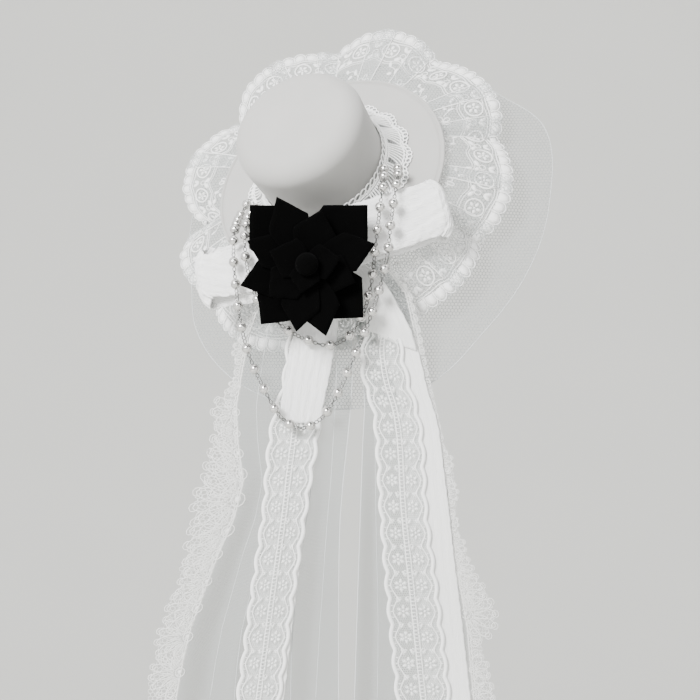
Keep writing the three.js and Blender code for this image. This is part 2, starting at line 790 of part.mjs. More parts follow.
const loopRootY = CORE_BACK_Y - CLOTH - TOUCH;
add(
  "bow_loop_right",
  bowLoop({
    root: new THREE.Vector3(ROSE_X + ROSE_CORE_RADIUS + TOUCH * 2, loopRootY, ROSE_Z + 12),
    outward: new THREE.Vector3(0.954, 0.045, 0.295),
    length: LOOP_RIGHT_LENGTH,
  }),
  "ribbon",
);
add(
  "bow_loop_left",
  bowLoop({
    root: new THREE.Vector3(ROSE_X - ROSE_CORE_RADIUS - TOUCH * 2, loopRootY, ROSE_Z - 6),
    outward: new THREE.Vector3(-0.897, 0.427, -0.128),
    length: LOOP_LEFT_LENGTH,
  }),
  "ribbon",
);

// Pearl strands. Their routes: chosen points, from the left foot of the crown to the right.
const LONG_ROUTE = [
  [-48.5, 4, -12],
  [-53, -8, -22],
  [-54.5, -34, -30],
  [-55, -54, -38],
  [-55, -57.5, -46],
  [-54.5, -57.5, -58],
  [-53, -58, -72],
  [-51, -59.5, -87],
  [-46, -60.5, -106],
  [-38, -61.5, -124],
  [-27, -62, -142],
  [-16, -62.5, -147.5],
  [-5, -62, -142],
  [5, -62, -127],
  [13, -62.5, -109],
  [21, -63.5, -90],
  [27, -65, -72],
  [32.5, -66, -50],
  [34.5, -65.5, -31],
  [36.5, -64.5, -17],
  [38, -59, -8],
  [39.5, -42, 1],
  [38.5, -32, 3],
];
const SHORT_ROUTE = [
  [-43.5, -4, -17],
  [-47, -22, -23],
  [-48, -44, -30],
  [-48.5, -57.5, -40],
  [-47.5, -58.3, -54],
  [-41.5, -57.9, -74],
  [-28, -57.9, -89],
  [-14, -57.9, -97],
  [0, -58, -100.5],
  [11, -59.5, -95],
  [19, -60.5, -82],
  [23.7, -61.5, -64],
  [25.7, -62.5, -46],
  [27.3, -63.5, -32],
  [29, -63.5, -18],
  [30.5, -58, -9],
  [31, -42, 0],
  [31.5, -32, 4],
];

function strand(route, pearls) {
  const stops = route.map((p) => new THREE.Vector3(...p));
  const curve = new THREE.CatmullRomCurve3(stops, false, "centripetal");
  curve.arcLengthDivisions = 800;
  const linkSides = 5;
  const beadSides = linkSides * 2;
  const length = curve.getLength();
  const pitch = length / pearls;
  const bead = PEARL / 2;
  const vertices = [];
  const faces = [];
  let side = new THREE.Vector3(1, 0, 0);
  let previous = null;
  const ring = (at, radius, count) => {
    const t = clamp01(at / length);
    const centre = curve.getPointAt(t);
    const tangent = curve.getTangentAt(t);
    side = side.clone().addScaledVector(tangent, -side.dot(tangent)).normalize();
    const other = tangent.clone().cross(side);
    const first = vertices.length;
    for (let k = 0; k < count; k++) {
      const turn = (k / count) * 2 * Math.PI;
      vertices.push(
        centre
          .clone()
          .addScaledVector(side, radius * Math.cos(turn))
          .addScaledVector(other, radius * Math.sin(turn)),
      );
    }
    if (previous) bridge(previous, { first, count });
    previous = { first, count };
  };
  // Faces between two rings, whose counts are equal or in a ratio of two.
  const bridge = (a, b) => {
    const fine = Math.max(a.count, b.count);
    for (let k = 0; k < fine; k++) {
      const at = (r, i) => r.first + Math.floor(((i % fine) * r.count) / fine);
      const [p, q, r, s] = [at(a, k), at(a, k + 1), at(b, k + 1), at(b, k)];
      if (p !== q) faces.push([p, q, r]);
      if (r !== s) faces.push([p, r, s]);
    }
  };
  const mouth = Math.sqrt(bead ** 2 - (WIRE / 2) ** 2);
  const [shoulder, shoulderRadius] = [bead * 0.6, bead * 0.8];
  for (let k = 0; k < pearls; k++) {
    const middle = (k + 0.5) * pitch;
    ring(middle - mouth, WIRE / 2, linkSides);
    ring(middle - shoulder, shoulderRadius, beadSides);
    ring(middle, bead, beadSides);
    ring(middle + shoulder, shoulderRadius, beadSides);
    ring(middle + mouth, WIRE / 2, linkSides);
  }
  const end = vertices.length - linkSides;
  for (let k = 1; k < linkSides - 1; k++) {
    faces.push([0, k + 1, k]);
    faces.push([end, end + k, end + k + 1]);
  }
  return solid(vertices, faces);
}

add("pearl_strand_long", strand(LONG_ROUTE, PEARLS_LONG), "pearl");
add("pearl_strand_short", strand(SHORT_ROUTE, PEARLS_SHORT), "pearl");

export default part;
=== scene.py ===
"""Mini top hat fascinator: felt top hat, crochet band, gathered lace ruffle, net disc, velvet rose,
ribbon loops, ribbon and lace tails, veil with daisy edge lace, and two swags of pearls.

Lengths are worked out in millimetres, as in the part's source, and turned to metres when a mesh is made.
"""
import math

import bmesh
import bpy
import numpy as np
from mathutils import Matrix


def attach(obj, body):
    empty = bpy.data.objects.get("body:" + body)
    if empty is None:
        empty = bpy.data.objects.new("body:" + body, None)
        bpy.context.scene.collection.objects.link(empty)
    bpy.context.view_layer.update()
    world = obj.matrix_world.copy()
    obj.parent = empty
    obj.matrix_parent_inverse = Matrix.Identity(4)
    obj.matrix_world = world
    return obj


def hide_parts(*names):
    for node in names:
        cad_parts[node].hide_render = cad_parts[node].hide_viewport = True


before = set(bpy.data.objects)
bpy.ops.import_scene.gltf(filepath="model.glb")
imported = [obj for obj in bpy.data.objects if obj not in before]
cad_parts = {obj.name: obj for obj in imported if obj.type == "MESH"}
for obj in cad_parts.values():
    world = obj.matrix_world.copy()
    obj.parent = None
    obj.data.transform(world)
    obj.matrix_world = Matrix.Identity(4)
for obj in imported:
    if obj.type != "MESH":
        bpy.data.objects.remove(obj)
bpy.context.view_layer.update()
MM = 0.001

# Camera, in metres, level and square on, with 0.6 mm a pixel at the depth of the hat
CAMERA_X, CAMERA_AWAY, CAMERA_Z = 0.0114, 1.15, -0.1032
LENS, SENSOR, VIEW_END = 98.6, 36.0, 20.0
camera_data = bpy.data.cameras.new("camera")
camera_data.lens = LENS
camera_data.sensor_width = SENSOR
camera_data.clip_end = VIEW_END
camera = bpy.data.objects.new("camera", camera_data)
camera.location = (CAMERA_X, -CAMERA_AWAY, CAMERA_Z)
camera.rotation_euler = (math.radians(90), 0, 0)
bpy.context.scene.collection.objects.link(camera)
bpy.context.scene.camera = camera

# Sizes of the part in mm, as its source has them
TOUCH, CLOTH = 0.35, 1.0
LAYER = CLOTH + TOUCH
TIP_FORWARD, TIP_ASIDE = 50, 36.2
FELT, BRIM_RADIUS, CROWN_HEIGHT = 1.8, 73, 57
CROWN_TOP_RADIUS, CROWN_WAIST_RADIUS, CROWN_EDGE_ROUND = 40, 38, 6.5
BAND_WALL, BAND_RISE, BAND_REACH, BAND_SCALLOPS, BAND_SCALLOP_DEPTH = 1.0, 13, 14, 18, 2.2
BAND_FLARE, BAND_SINK = 1.6, 1.3
RUFFLE_INNER_RADIUS, RUFFLE_LACE_WIDTH, RUFFLE_FOLD_DEPTH = 57, 51, 7
RUFFLE_FOLD_MIDDLE, RUFFLE_FOLD_CEILING, RUFFLE_CREST_ROUND, RUFFLE_DROOP_BEND = 0.7, 0.2, 0.75, 1.5
RUFFLE_DROOP_LEAST, RUFFLE_DROOP_MOST, DROOP_ANGLE = 2, 34, -75
NET_INNER_RADIUS, NET_CUT_WIDTH, NET_EXTRA_DROOP, NET_DROOP_BEND = 59, 62, 12, 1.2
ROSE_X, ROSE_Z, PETAL_REACH, PETAL_PITCH, PETAL_WALL, PETAL_LEAN = -14, -51, 48, 1.3, 0.8, 0.2
PETAL_SHOULDER, PETAL_ROOT, PETAL_NARROWING = 0.7, 0.12, 0.42
BLOOM_ASIDE, BLOOM_DROP = 1.4, 4.5
BLOOM_X, BLOOM_Z = ROSE_X + BLOOM_ASIDE, ROSE_Z - BLOOM_DROP
HEART_RADIUS, HEART_DEPTH, ROSE_CORE_RADIUS = 6.5, 8, 22
PAD_BACK_RADIUS, PAD_BACK_DROP, PAD_FRONT_RADIUS, PAD_FRONT_Y = 7.5, 2.5, 16, -48.9
GATHER_Z, FALL = -50, 256
RIBBON_WIDTH, SHORT_RIBBON_WIDTH, LACE_WIDTH, VEIL_WIDTH, VEIL_LACE_WIDTH = 24, 40, 30, 100, 20
LACE_SCALLOP, LACE_SCALLOP_DEPTH, FALL_BOW, BOW_START = 15, 1.9, 5, 0.2
PLEAT_DEPTH, PLEAT_START, PLEAT_SPREAD = 11, 0.3, 0.55
LOOP_RIBBON, LOOP_RIGHT_LENGTH, LOOP_LEFT_LENGTH, LOOP_SWELL, LOOP_TURN_SHARE = 35, 62, 45, 4.6, 0.375
PEARL, PEARLS_LONG, PEARLS_SHORT = 6, 30, 22
VEIL_ROWS = 12

# Sizes of what the scene adds, in mm: how much softer the crown's edge is than in the source, the
# lengths and widths that the laces are cut to, the radius at which a pleat's width is taken and how far
# its net is shifted, the ribbons' wall, and the strands' bores and links.
FELT_ROLL = 5.0
RUFFLE_TURN, RUFFLE_CUT_WIDTH = 640.0, 46
PLEAT_RADIUS, PLEAT_PATTERN_SHIFT = 85, 7
BAND_CUT_LENGTH, BAND_CUT_WIDTH = 290, 20
EDGE_LACE_CUT_WIDTH = 16
RIBBON_WALL = 0.3
PEARL_BORE, LINK_REACH, LINK_WIRE = 1.0, 1.15, 0.27

# Degrees round the brim where a fold starts, and its reach there and on its crest, as shares of the lace.
RUFFLE_FOLDS = np.array([
    [-97, 0.78, 0.9], [-59, 0.66, 0.95], [-16, 0.82, 1.09], [25, 1.02, 1.26], [61, 1.03, 1.16],
    [104, 0.73, 0.99], [152, 0.6, 1.0], [185, 0.86, 1.08], [228, 0.84, 0.98]])
# Degrees round the brim, and the net's width there as a share of its cut.
NET_REACH = [
    [-120, 1.2], [-100, 1.16], [-80, 1.0], [-37, 1.0], [-12, 1.1], [6, 0.95], [52, 0.78], [99, 0.8],
    [137, 0.8], [165, 0.84], [180, 0.99], [198, 1.1], [218, 1.16], [240, 1.2]]
# Each strip by its share of the fall, its middle as a share of the fall, and its share of the full width.
SHORT_LEFT = [[0.0, -0.05, 0.5], [0.136, -0.029, 0.6], [0.23, -0.045, 0.64], [0.342, -0.064, 0.6],
              [0.39, -0.071, 0.59]]
SHORT_RIGHT = [[0.0, 0.035, 0.3], [0.055, 0.088, 0.4], [0.118, 0.118, 0.5], [0.158, 0.129, 0.63],
               [0.197, 0.133, 0.74], [0.215, 0.138, 0.74]]
SATIN_LEFT = [[0.0, -0.045, 0.8], [0.136, -0.038, 0.86], [0.275, -0.061, 0.91], [0.41, -0.072, 0.95],
              [0.567, -0.096, 0.95], [0.75, -0.12, 0.96], [1.0, -0.15, 0.96]]
SATIN_RIGHT = [[0.0, 0.04, 0.5], [0.055, 0.085, 0.7], [0.096, 0.11, 0.8], [0.141, 0.13, 0.84],
               [0.197, 0.15, 0.92], [0.248, 0.167, 0.86], [0.291, 0.181, 0.76], [0.369, 0.199, 0.86],
               [0.459, 0.208, 0.95], [0.661, 0.228, 1.02], [0.88, 0.253, 1.06], [1.0, 0.264, 1.1]]
LACE_LEFT = [[0.0, -0.05, 0.5], [0.136, -0.056, 0.65], [0.275, -0.062, 0.8], [0.354, -0.074, 0.97],
             [0.41, -0.082, 1.01], [0.488, -0.092, 0.95], [0.567, -0.101, 0.9], [0.746, -0.127, 0.89],
             [1.0, -0.162, 0.89]]
LACE_RIGHT = [[0.06, 0.08, 0.5], [0.136, 0.119, 0.65], [0.21, 0.116, 0.85], [0.275, 0.125, 0.94],
              [0.342, 0.145, 0.93], [0.41, 0.155, 0.97], [0.567, 0.164, 0.96], [0.757, 0.184, 1.05],
              [1.0, 0.21, 1.1]]
# Each edge of a veil by its share of the fall, and its place as a share of the veil's width.
VEIL_LEFT_SEAM = [[0.0, -0.3], [0.096, -0.39], [0.163, -0.45], [0.266, -0.5], [0.342, -0.53],
                  [0.41, -0.52], [0.484, -0.49], [0.53, -0.49], [0.567, -0.52], [0.634, -0.6],
                  [0.768, -0.73], [0.858, -0.81], [1.0, -0.88]]
VEIL_LEFT_INNER = [[0.0, 0.06], [0.096, 0.115], [0.163, 0.12], [0.266, 0.13], [0.41, 0.1],
                   [0.567, 0.06], [0.768, 0.049], [1.0, 0.049]]
VEIL_RIGHT_INNER = [[0.0, 0.07], [0.096, 0.125], [0.163, 0.15], [0.291, 0.2], [0.387, 0.19],
                    [0.524, 0.178], [0.798, 0.155], [1.0, 0.14]]
VEIL_RIGHT_SEAM = [[0.0, 0.27], [0.04, 0.39], [0.096, 0.435], [0.163, 0.475], [0.291, 0.525],
                   [0.387, 0.59], [0.457, 0.625], [0.524, 0.64], [0.593, 0.668], [0.694, 0.71],
                   [0.798, 0.77], [0.865, 0.785], [1.0, 0.82]]
# Each edge lace by its share of the fall, and its share of the lace's full width.
VEIL_LACE_LEFT = [[0.12, 0.2], [0.174, 0.29], [0.206, 0.36], [0.266, 0.26], [0.304, 0.34],
                  [0.347, 0.69], [0.387, 0.6], [0.439, 0.85], [0.484, 1.05], [0.542, 1.3],
                  [0.58, 1.05], [0.611, 1.12], [0.65, 0.85], [0.69, 1.0], [0.73, 0.8], [0.768, 0.95],
                  [0.81, 0.78], [0.85, 0.9], [0.9, 0.76], [0.948, 0.9], [1.0, 0.8]]
VEIL_LACE_RIGHT = [[0.0, 0.3], [0.04, 0.2], [0.096, 0.15], [0.163, 0.18], [0.275, 0.26],
                   [0.387, 0.24], [0.43, 0.22], [0.457, 0.34], [0.524, 0.37], [0.593, 0.26],
                   [0.645, 0.36], [0.694, 0.46], [0.746, 0.67], [0.798, 0.89], [0.836, 0.6],
                   [0.865, 0.4], [0.925, 0.5], [1.0, 0.6]]
# Each petal by its heading in degrees, its share of the full reach, and half its spread in degrees.
PETALS = [[133.5, 0.98, 52], [45, 1.0, 52], [-43, 0.9, 52], [-128, 0.88, 52], [-163, 0.82, 42],
          [158, 0.76, 42], [114, 0.87, 42], [76, 0.66, 58], [17, 0.83, 42], [-20, 0.6, 58],
          [-75, 0.86, 42], [-99, 0.79, 42], [-140, 0.58, 58], [160, 0.46, 82], [10, 0.4, 82],
          [-100, 0.34, 82]]
# Each strand by its points in mm.
LONG_ROUTE = [
    [-48.5, 4, -12], [-53, -8, -22], [-54.5, -34, -30], [-55, -54, -38], [-55, -57.5, -46],
    [-54.5, -57.5, -58], [-53, -58, -72], [-51, -59.5, -87], [-46, -60.5, -106], [-38, -61.5, -124],
    [-27, -62, -142], [-16, -62.5, -147.5], [-5, -62, -142], [5, -62, -127], [13, -62.5, -109],
    [21, -63.5, -90], [27, -65, -72], [32.5, -66, -50], [34.5, -65.5, -31], [36.5, -64.5, -17],
    [38, -59, -8], [39.5, -42, 1], [38.5, -32, 3]]
SHORT_ROUTE = [
    [-43.5, -4, -17], [-47, -22, -23], [-48, -44, -30], [-48.5, -57.5, -40], [-47.5, -58.3, -54],
    [-41.5, -57.9, -74], [-28, -57.9, -89], [-14, -57.9, -97], [0, -58, -100.5], [11, -59.5, -95],
    [19, -60.5, -82], [23.7, -61.5, -64], [25.7, -62.5, -46], [27.3, -63.5, -32], [29, -63.5, -18],
    [30.5, -58, -9], [31, -42, 0], [31.5, -32, 4]]


# Small sums
def clamp01(x):
    return np.clip(x, 0.0, 1.0)


def smooth(x):
    t = clamp01(x)
    return t * t * (3 - 2 * t)


def lerp(a, b, t):
    return a + (b - a) * t


def along(rows, at, column):
    """A smooth value from a table, as the part's source has it."""
    rows = np.asarray(rows, float)
    at = np.asarray(at, float)
    x, y = rows[:, 0], rows[:, column]
    last = len(x) - 1
    low = np.maximum(np.arange(last + 1) - 1, 0)
    high = np.minimum(np.arange(last + 1) + 1, last)
    slope = (y[high] - y[low]) / (x[high] - x[low])
    k = np.clip(np.searchsorted(x, at, side="right") - 1, 0, last - 1)
    span = x[k + 1] - x[k]
    t = clamp01((at - x[k]) / span)
    t2, t3 = t * t, t * t * t
    return ((2 * t3 - 3 * t2 + 1) * y[k] + (t3 - 2 * t2 + t) * span * slope[k]
            + (3 * t2 - 2 * t3) * y[k + 1] + (t3 - t2) * span * slope[k + 1])


def wave(x, seed, count=5):
    """A soft seeded wobble between about -1 and 1."""
    picks = np.random.default_rng(seed)
    total = 0
    for k in range(count):
        total = total + np.sin(x * (1 + 1.7 * k) + picks.uniform(0, 6.28)) / (1 + 0.7 * k)
    return total / 2.2


def unit(v):
    return v / np.maximum(np.linalg.norm(v, axis=-1, keepdims=True), 1e-9)


def turn_x(degrees):
    a = math.radians(degrees)
    return np.array([[1, 0, 0], [0, math.cos(a), -math.sin(a)], [0, math.sin(a), math.cos(a)]])


def turn_y(degrees):
    a = math.radians(degrees)
    return np.array([[math.cos(a), 0, math.sin(a)], [0, 1, 0], [-math.sin(a), 0, math.cos(a)]])


HAT_TURN = turn_y(-TIP_ASIDE) @ turn_x(TIP_FORWARD)


def from_hat(points):
    """Points in the hat's own frame, its axis along +Z, turned as the hat is worn."""
    return np.asarray(points) @ HAT_TURN.T


# Materials
def linear(code):
    """An sRGB hex colour as linear light."""
    parts = [int(code[k:k + 2], 16) / 255 for k in (1, 3, 5)]
    return tuple(c / 12.92 if c <= 0.04045 else ((c + 0.055) / 1.055) ** 2.4 for c in parts) + (1.0,)


def add_node(tree, kind, inputs=None, **settings):
    """Adds one node, sets its properties, and fills or links its inputs."""
    made = tree.nodes.new(kind)
    for key, value in settings.items():
        setattr(made, key, value)
    for key, value in (inputs or {}).items():
        socket = made.inputs[key]
        if isinstance(value, bpy.types.NodeSocket):
            tree.links.new(value, socket)
        else:
            socket.default_value = value
    return made


def start_material(name):
    """A new material and its empty tree."""
    made = bpy.data.materials.new(name)
    made.use_nodes = True
    made.node_tree.nodes.clear()
    return made, made.node_tree


def surface_of(tree, inputs):
    """The shader with its numbers, colours and links, joined to the material's output."""
    shader = add_node(tree, "ShaderNodeBsdfPrincipled", inputs)
    add_node(tree, "ShaderNodeOutputMaterial", {"Surface": shader.outputs["BSDF"]})


def part_place(tree):
    """The part's own coordinates in millimetres. A pattern's scale on them is in spots per mm."""
    place = add_node(tree, "ShaderNodeTexCoord").outputs["Object"]
    in_mm = add_node(tree, "ShaderNodeVectorMath", {0: place, 1: (1000, 1000, 1000)}, operation="MULTIPLY")
    return in_mm.outputs[0]


def cloth_place(tree, scale):
    """The cloth's own flat coordinates, carried by each mesh in millimetres, times a scale."""
    flat = add_node(tree, "ShaderNodeAttribute", attribute_name="cloth_mm").outputs["Vector"]
    return add_node(tree, "ShaderNodeVectorMath", {0: flat, 1: scale}, operation="MULTIPLY").outputs[0]


def felt_material():
    # Wool felt with a flocked face: short fibres lie every way, so it is matt, with a pale bloom at
    # grazing angles and a fine uneven nap. Its tufts are about 0.45 mm, its cloudy patches 22 mm.
    tufts, patches = 2.2, 0.045
    made, tree = start_material("flocked_felt")
    mm = part_place(tree)
    nap = add_node(tree, "ShaderNodeTexNoise", {"Vector": mm, "Scale": tufts, "Detail": 3.0,
                                                "Roughness": 0.7})
    cloud = add_node(tree, "ShaderNodeTexNoise", {"Vector": mm, "Scale": patches, "Detail": 2.0})
    tone = add_node(tree, "ShaderNodeMixRGB", {"Fac": cloud.outputs["Fac"], "Color1": linear("#A09F9C"),
                                               "Color2": linear("#AAA9A6")})
    bump = add_node(tree, "ShaderNodeBump", {"Height": nap.outputs["Fac"], "Strength": 0.35,
                                             "Distance": 0.0005})
    surface_of(tree, {"Base Color": tone.outputs[0], "Normal": bump.outputs[0], "Roughness": 0.92,
                      "Sheen Weight": 0.25, "Sheen Roughness": 0.5})
    return made


def satin_material(name, crinkle, crease_shade, full):
    # Polyester crepe satin, woven and heat set: fine lengthwise crinkles, a soft sheen across them.
    # A crinkle is about 0.6 mm wide and 8 mm long, and a yarn 0.17 mm.
    crinkles, yarns = (1.6, 0.12, 0), (6, 6, 0)
    made, tree = start_material(name)
    crease = add_node(tree, "ShaderNodeTexNoise", {"Vector": cloth_place(tree, crinkles), "Scale": 1.0,
                                                   "Detail": 4.0, "Roughness": 0.6})
    weave = add_node(tree, "ShaderNodeTexNoise", {"Vector": cloth_place(tree, yarns), "Scale": 1.0,
                                                  "Detail": 1.0})
    height = add_node(tree, "ShaderNodeMath", {0: weave.outputs["Fac"], 1: 0.2, 2: crease.outputs["Fac"]},
                      operation="MULTIPLY_ADD")
    bump = add_node(tree, "ShaderNodeBump", {"Height": height.outputs[0], "Strength": crinkle,
                                             "Distance": 0.0008})
    # The crinkles' hollows are painted darker and their crests paler, following the bump: painted shade in
    # the crinkles.
    tone = add_node(tree, "ShaderNodeMixRGB", {"Fac": crease.outputs["Fac"], "Color1": linear(crease_shade),
                                               "Color2": linear(full)})
    surface_of(tree, {"Base Color": tone.outputs[0], "Normal": bump.outputs[0], "Roughness": 0.48,
                      "Sheen Weight": 0.2})
    return made


def net_material(name, cell, wire, colour, body=0.0):
    # Nylon net: fine threads round hexagonal holes of the given size in mm. body is how much the
    # holes are still veiled by the yarn's hairs.
    made, tree = start_material(name)
    root = math.sqrt(3)
    place = cloth_place(tree, (1 / cell, 1 / cell, 0))
    # The remainder below needs places above zero, so they move up by whole cells.
    whole_cells = 400
    shift = add_node(tree, "ShaderNodeVectorMath", {0: place, 1: (whole_cells, whole_cells * root, 0)},
                     operation="ADD")
    near = []
    for offset in ((0, 0, 0), (0.5, root / 2, 0)):
        moved = add_node(tree, "ShaderNodeVectorMath", {0: shift.outputs[0], 1: offset}, operation="ADD")
        wrapped = add_node(tree, "ShaderNodeVectorMath", {0: moved.outputs[0], 1: (1, root, 1)},
                           operation="MODULO")
        centred = add_node(tree, "ShaderNodeVectorMath", {0: wrapped.outputs[0], 1: (0.5, root / 2, 0)},
                           operation="SUBTRACT")
        sides = add_node(tree, "ShaderNodeVectorMath", {0: centred.outputs[0]}, operation="ABSOLUTE")
        flat = add_node(tree, "ShaderNodeVectorMath", {0: sides.outputs[0], 1: (1, 0, 0)},
                        operation="DOT_PRODUCT")
        slant = add_node(tree, "ShaderNodeVectorMath", {0: sides.outputs[0], 1: (0.5, root / 2, 0)},
                         operation="DOT_PRODUCT")
        near.append(add_node(tree, "ShaderNodeMath", {0: flat.outputs["Value"], 1: slant.outputs["Value"]},
                             operation="MAXIMUM").outputs[0])
    reach = add_node(tree, "ShaderNodeMath", {0: near[0], 1: near[1]}, operation="MINIMUM")
    edge, blur = 0.5 - wire / cell / 2, 0.04
    thread = add_node(tree, "ShaderNodeMapRange", {"Value": reach.outputs[0], "From Min": edge - blur,
                                                   "From Max": edge + blur, "To Min": body, "To Max": 1.0})
    surface_of(tree, {"Alpha": thread.outputs[0], "Base Color": linear(colour), "Roughness": 0.6})
    return made


def thread_material(name, colour, plies):
    # Mercerised cotton thread, stitched or crocheted: matt with a slight lustre, and a ply that
    # shows as fine grain, with as many spots per mm as given.
    made, tree = start_material(name)
    ply = add_node(tree, "ShaderNodeTexNoise", {"Vector": part_place(tree), "Scale": plies, "Detail": 2.0})
    bump = add_node(tree, "ShaderNodeBump", {"Height": ply.outputs["Fac"], "Strength": 0.4,
                                             "Distance": 0.0003})
    surface_of(tree, {"Normal": bump.outputs[0], "Base Color": linear(colour), "Roughness": 0.7,
                      "Sheen Weight": 0.2})
    return made


def pearl_material():
    # Glass bead with a silver-grey pearl lacquer: a soft deep gloss under a clear coat, and cloudy
    # patches of about 3 mm.
    patches = 0.35
    made, tree = start_material("pearl_lacquer")
    cloud = add_node(tree, "ShaderNodeTexNoise", {"Vector": part_place(tree), "Scale": patches,
                                                  "Detail": 1.0})
    tone = add_node(tree, "ShaderNodeMixRGB", {"Fac": cloud.outputs["Fac"], "Color1": linear("#B9B8B5"),
                                               "Color2": linear("#D9D7D4")})
    surface_of(tree, {"Base Color": tone.outputs[0], "Metallic": 0.85, "Roughness": 0.12,
                      "Coat Weight": 0.7, "Coat Roughness": 0.06})
    return made


def metal_material(name, colour, roughness):
    # Drawn and plated wire, or plain rolled steel: bright, with faint marks of about 0.3 mm from its
    # making.
    marks_per_mm = 3.0
    made, tree = start_material(name)
    marks = add_node(tree, "ShaderNodeTexNoise", {"Vector": part_place(tree), "Scale": marks_per_mm,
                                                  "Detail": 2.0})
    worn = add_node(tree, "ShaderNodeMapRange", {"Value": marks.outputs["Fac"], "To Min": roughness * 0.8,
                                                 "To Max": roughness * 1.25})
    surface_of(tree, {"Roughness": worn.outputs[0], "Base Color": linear(colour), "Metallic": 1.0})
    return made


def velvet_material():
    # Rayon velvet: upright black pile that swallows light, with a faint grey bloom along its folds.
    # Its tufts are drawn at 0.3 mm, coarser than the real pile, so that they show.
    tufts = 3.0
    made, tree = start_material("black_velvet")
    pile = add_node(tree, "ShaderNodeTexNoise", {"Vector": part_place(tree), "Scale": tufts, "Detail": 2.0})
    bump = add_node(tree, "ShaderNodeBump", {"Height": pile.outputs["Fac"], "Strength": 0.3,
                                             "Distance": 0.0003})
    surface_of(tree, {"Normal": bump.outputs[0], "Base Color": linear("#020202"), "Roughness": 1.0,
                      "Specular IOR Level": 0.03, "Sheen Weight": 0.003})
    return made


def paper_material():
    # Matt background paper: no gloss, a faint unevenness in tone, in patches of about 250 mm.
    patches = 0.004
    made, tree = start_material("matt_paper")
    cloud = add_node(tree, "ShaderNodeTexNoise", {"Vector": part_place(tree), "Scale": patches,
                                                  "Detail": 1.0})
    tone = add_node(tree, "ShaderNodeMixRGB", {"Fac": cloud.outputs["Fac"], "Color1": linear("#C8C8C4"),
                                               "Color2": linear("#CCCCC8")})
    surface_of(tree, {"Base Color": tone.outputs[0], "Roughness": 1.0, "Specular IOR Level": 0.0})
    return made


FELT_CLOTH = felt_material()
CREPE = satin_material("crepe_satin", 1.0, "#F3F3F2", "#FDFDFC")
SATIN = satin_material("crinkled_satin", 0.5, "#DCDCDA", "#E9E9E7")
# The nets' cells are a little coarser than the real ones, so that they still show at this distance.
RUFFLE_NET = net_material("ruffle_lace_net", 1.9, 0.26, "#B6BABA")
DISC_NET = net_material("stiff_net", 2.1, 0.24, "#868C8C")
VEIL_NET = net_material("veil_tulle", 0.9, 0.1, "#7F8585", 0.16)
RIBBON_NET = net_material("ribbon_lace_net", 1.3, 0.3, "#B9BCBA")
EDGE_NET = net_material("edge_lace_net", 2.4, 0.34, "#CDCECC")
LACE_THREAD = thread_material("lace_thread", "#EAEAE8", 4.0)
EDGE_THREAD = thread_material("edge_lace_thread", "#D6D6D3", 4.0)
# Thread for the disc's hem and the veils' rolled edges, also used for the pale lines along the veils'
# pleats, which are painted highlights.
VEIL_HEM_AND_CREASE_HIGHLIGHT = thread_material("rolled_tulle_and_crease_highlight", "#C6C9C9", 4.0)
CROCHET_THREAD = thread_material("crochet_cotton", "#FAFAF8", 3.0)
PEARL_LACQUER = pearl_material()
SILVER_WIRE = metal_material("silver_plated_wire", "#737372", 0.25)
STEEL = metal_material("plain_steel", "#A9ABAE", 0.35)
VELVET = velvet_material()


# Meshes
def make_piece(name, points, blocks, material, flat=None, sharp=False):
    """A mesh object from points in mm and blocks of faces with equal corner counts."""
    mesh = bpy.data.meshes.new(name)
    points = np.asarray(points, np.float32) * MM
    blocks = [np.asarray(b, np.int32) for b in blocks if len(b)]
    corners = np.concatenate([b.ravel() for b in blocks])
    counts = np.concatenate([np.full(len(b), b.shape[1], np.int32) for b in blocks])
    mesh.vertices.add(len(points))
    mesh.vertices.foreach_set("co", points.ravel())
    mesh.loops.add(len(corners))
    mesh.loops.foreach_set("vertex_index", corners)
    mesh.polygons.add(len(counts))
    starts = np.concatenate([[0], np.cumsum(counts)[:-1]]).astype(np.int32)
    mesh.polygons.foreach_set("loop_start", starts)
    mesh.update(calc_edges=True)
    mesh.validate()
    mesh.polygons.foreach_set("use_smooth", np.full(len(counts), not sharp))
    if flat is not None:
        layer = mesh.attributes.new("cloth_mm", "FLOAT_VECTOR", "POINT")
        padded = np.zeros((len(points), 3), np.float32)
        padded[:, :2] = flat
        layer.data.foreach_set("vector", padded.ravel())
    mesh.materials.append(material)
    piece = bpy.data.objects.new(name, mesh)
    bpy.context.scene.collection.objects.link(piece)
    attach(piece, "root")
    return piece


def normals_of(point, u, v, step=1e-3):
    """The surface's own normal, by small steps."""
    du = point(u + step, v) - point(u - step, v)
    dv = point(u, np.minimum(v + step, 1)) - point(u, np.maximum(v - step, 0))
    return unit(np.cross(du, dv))


def area_of(piece):
    return sum(p.area for p in piece.data.polygons)


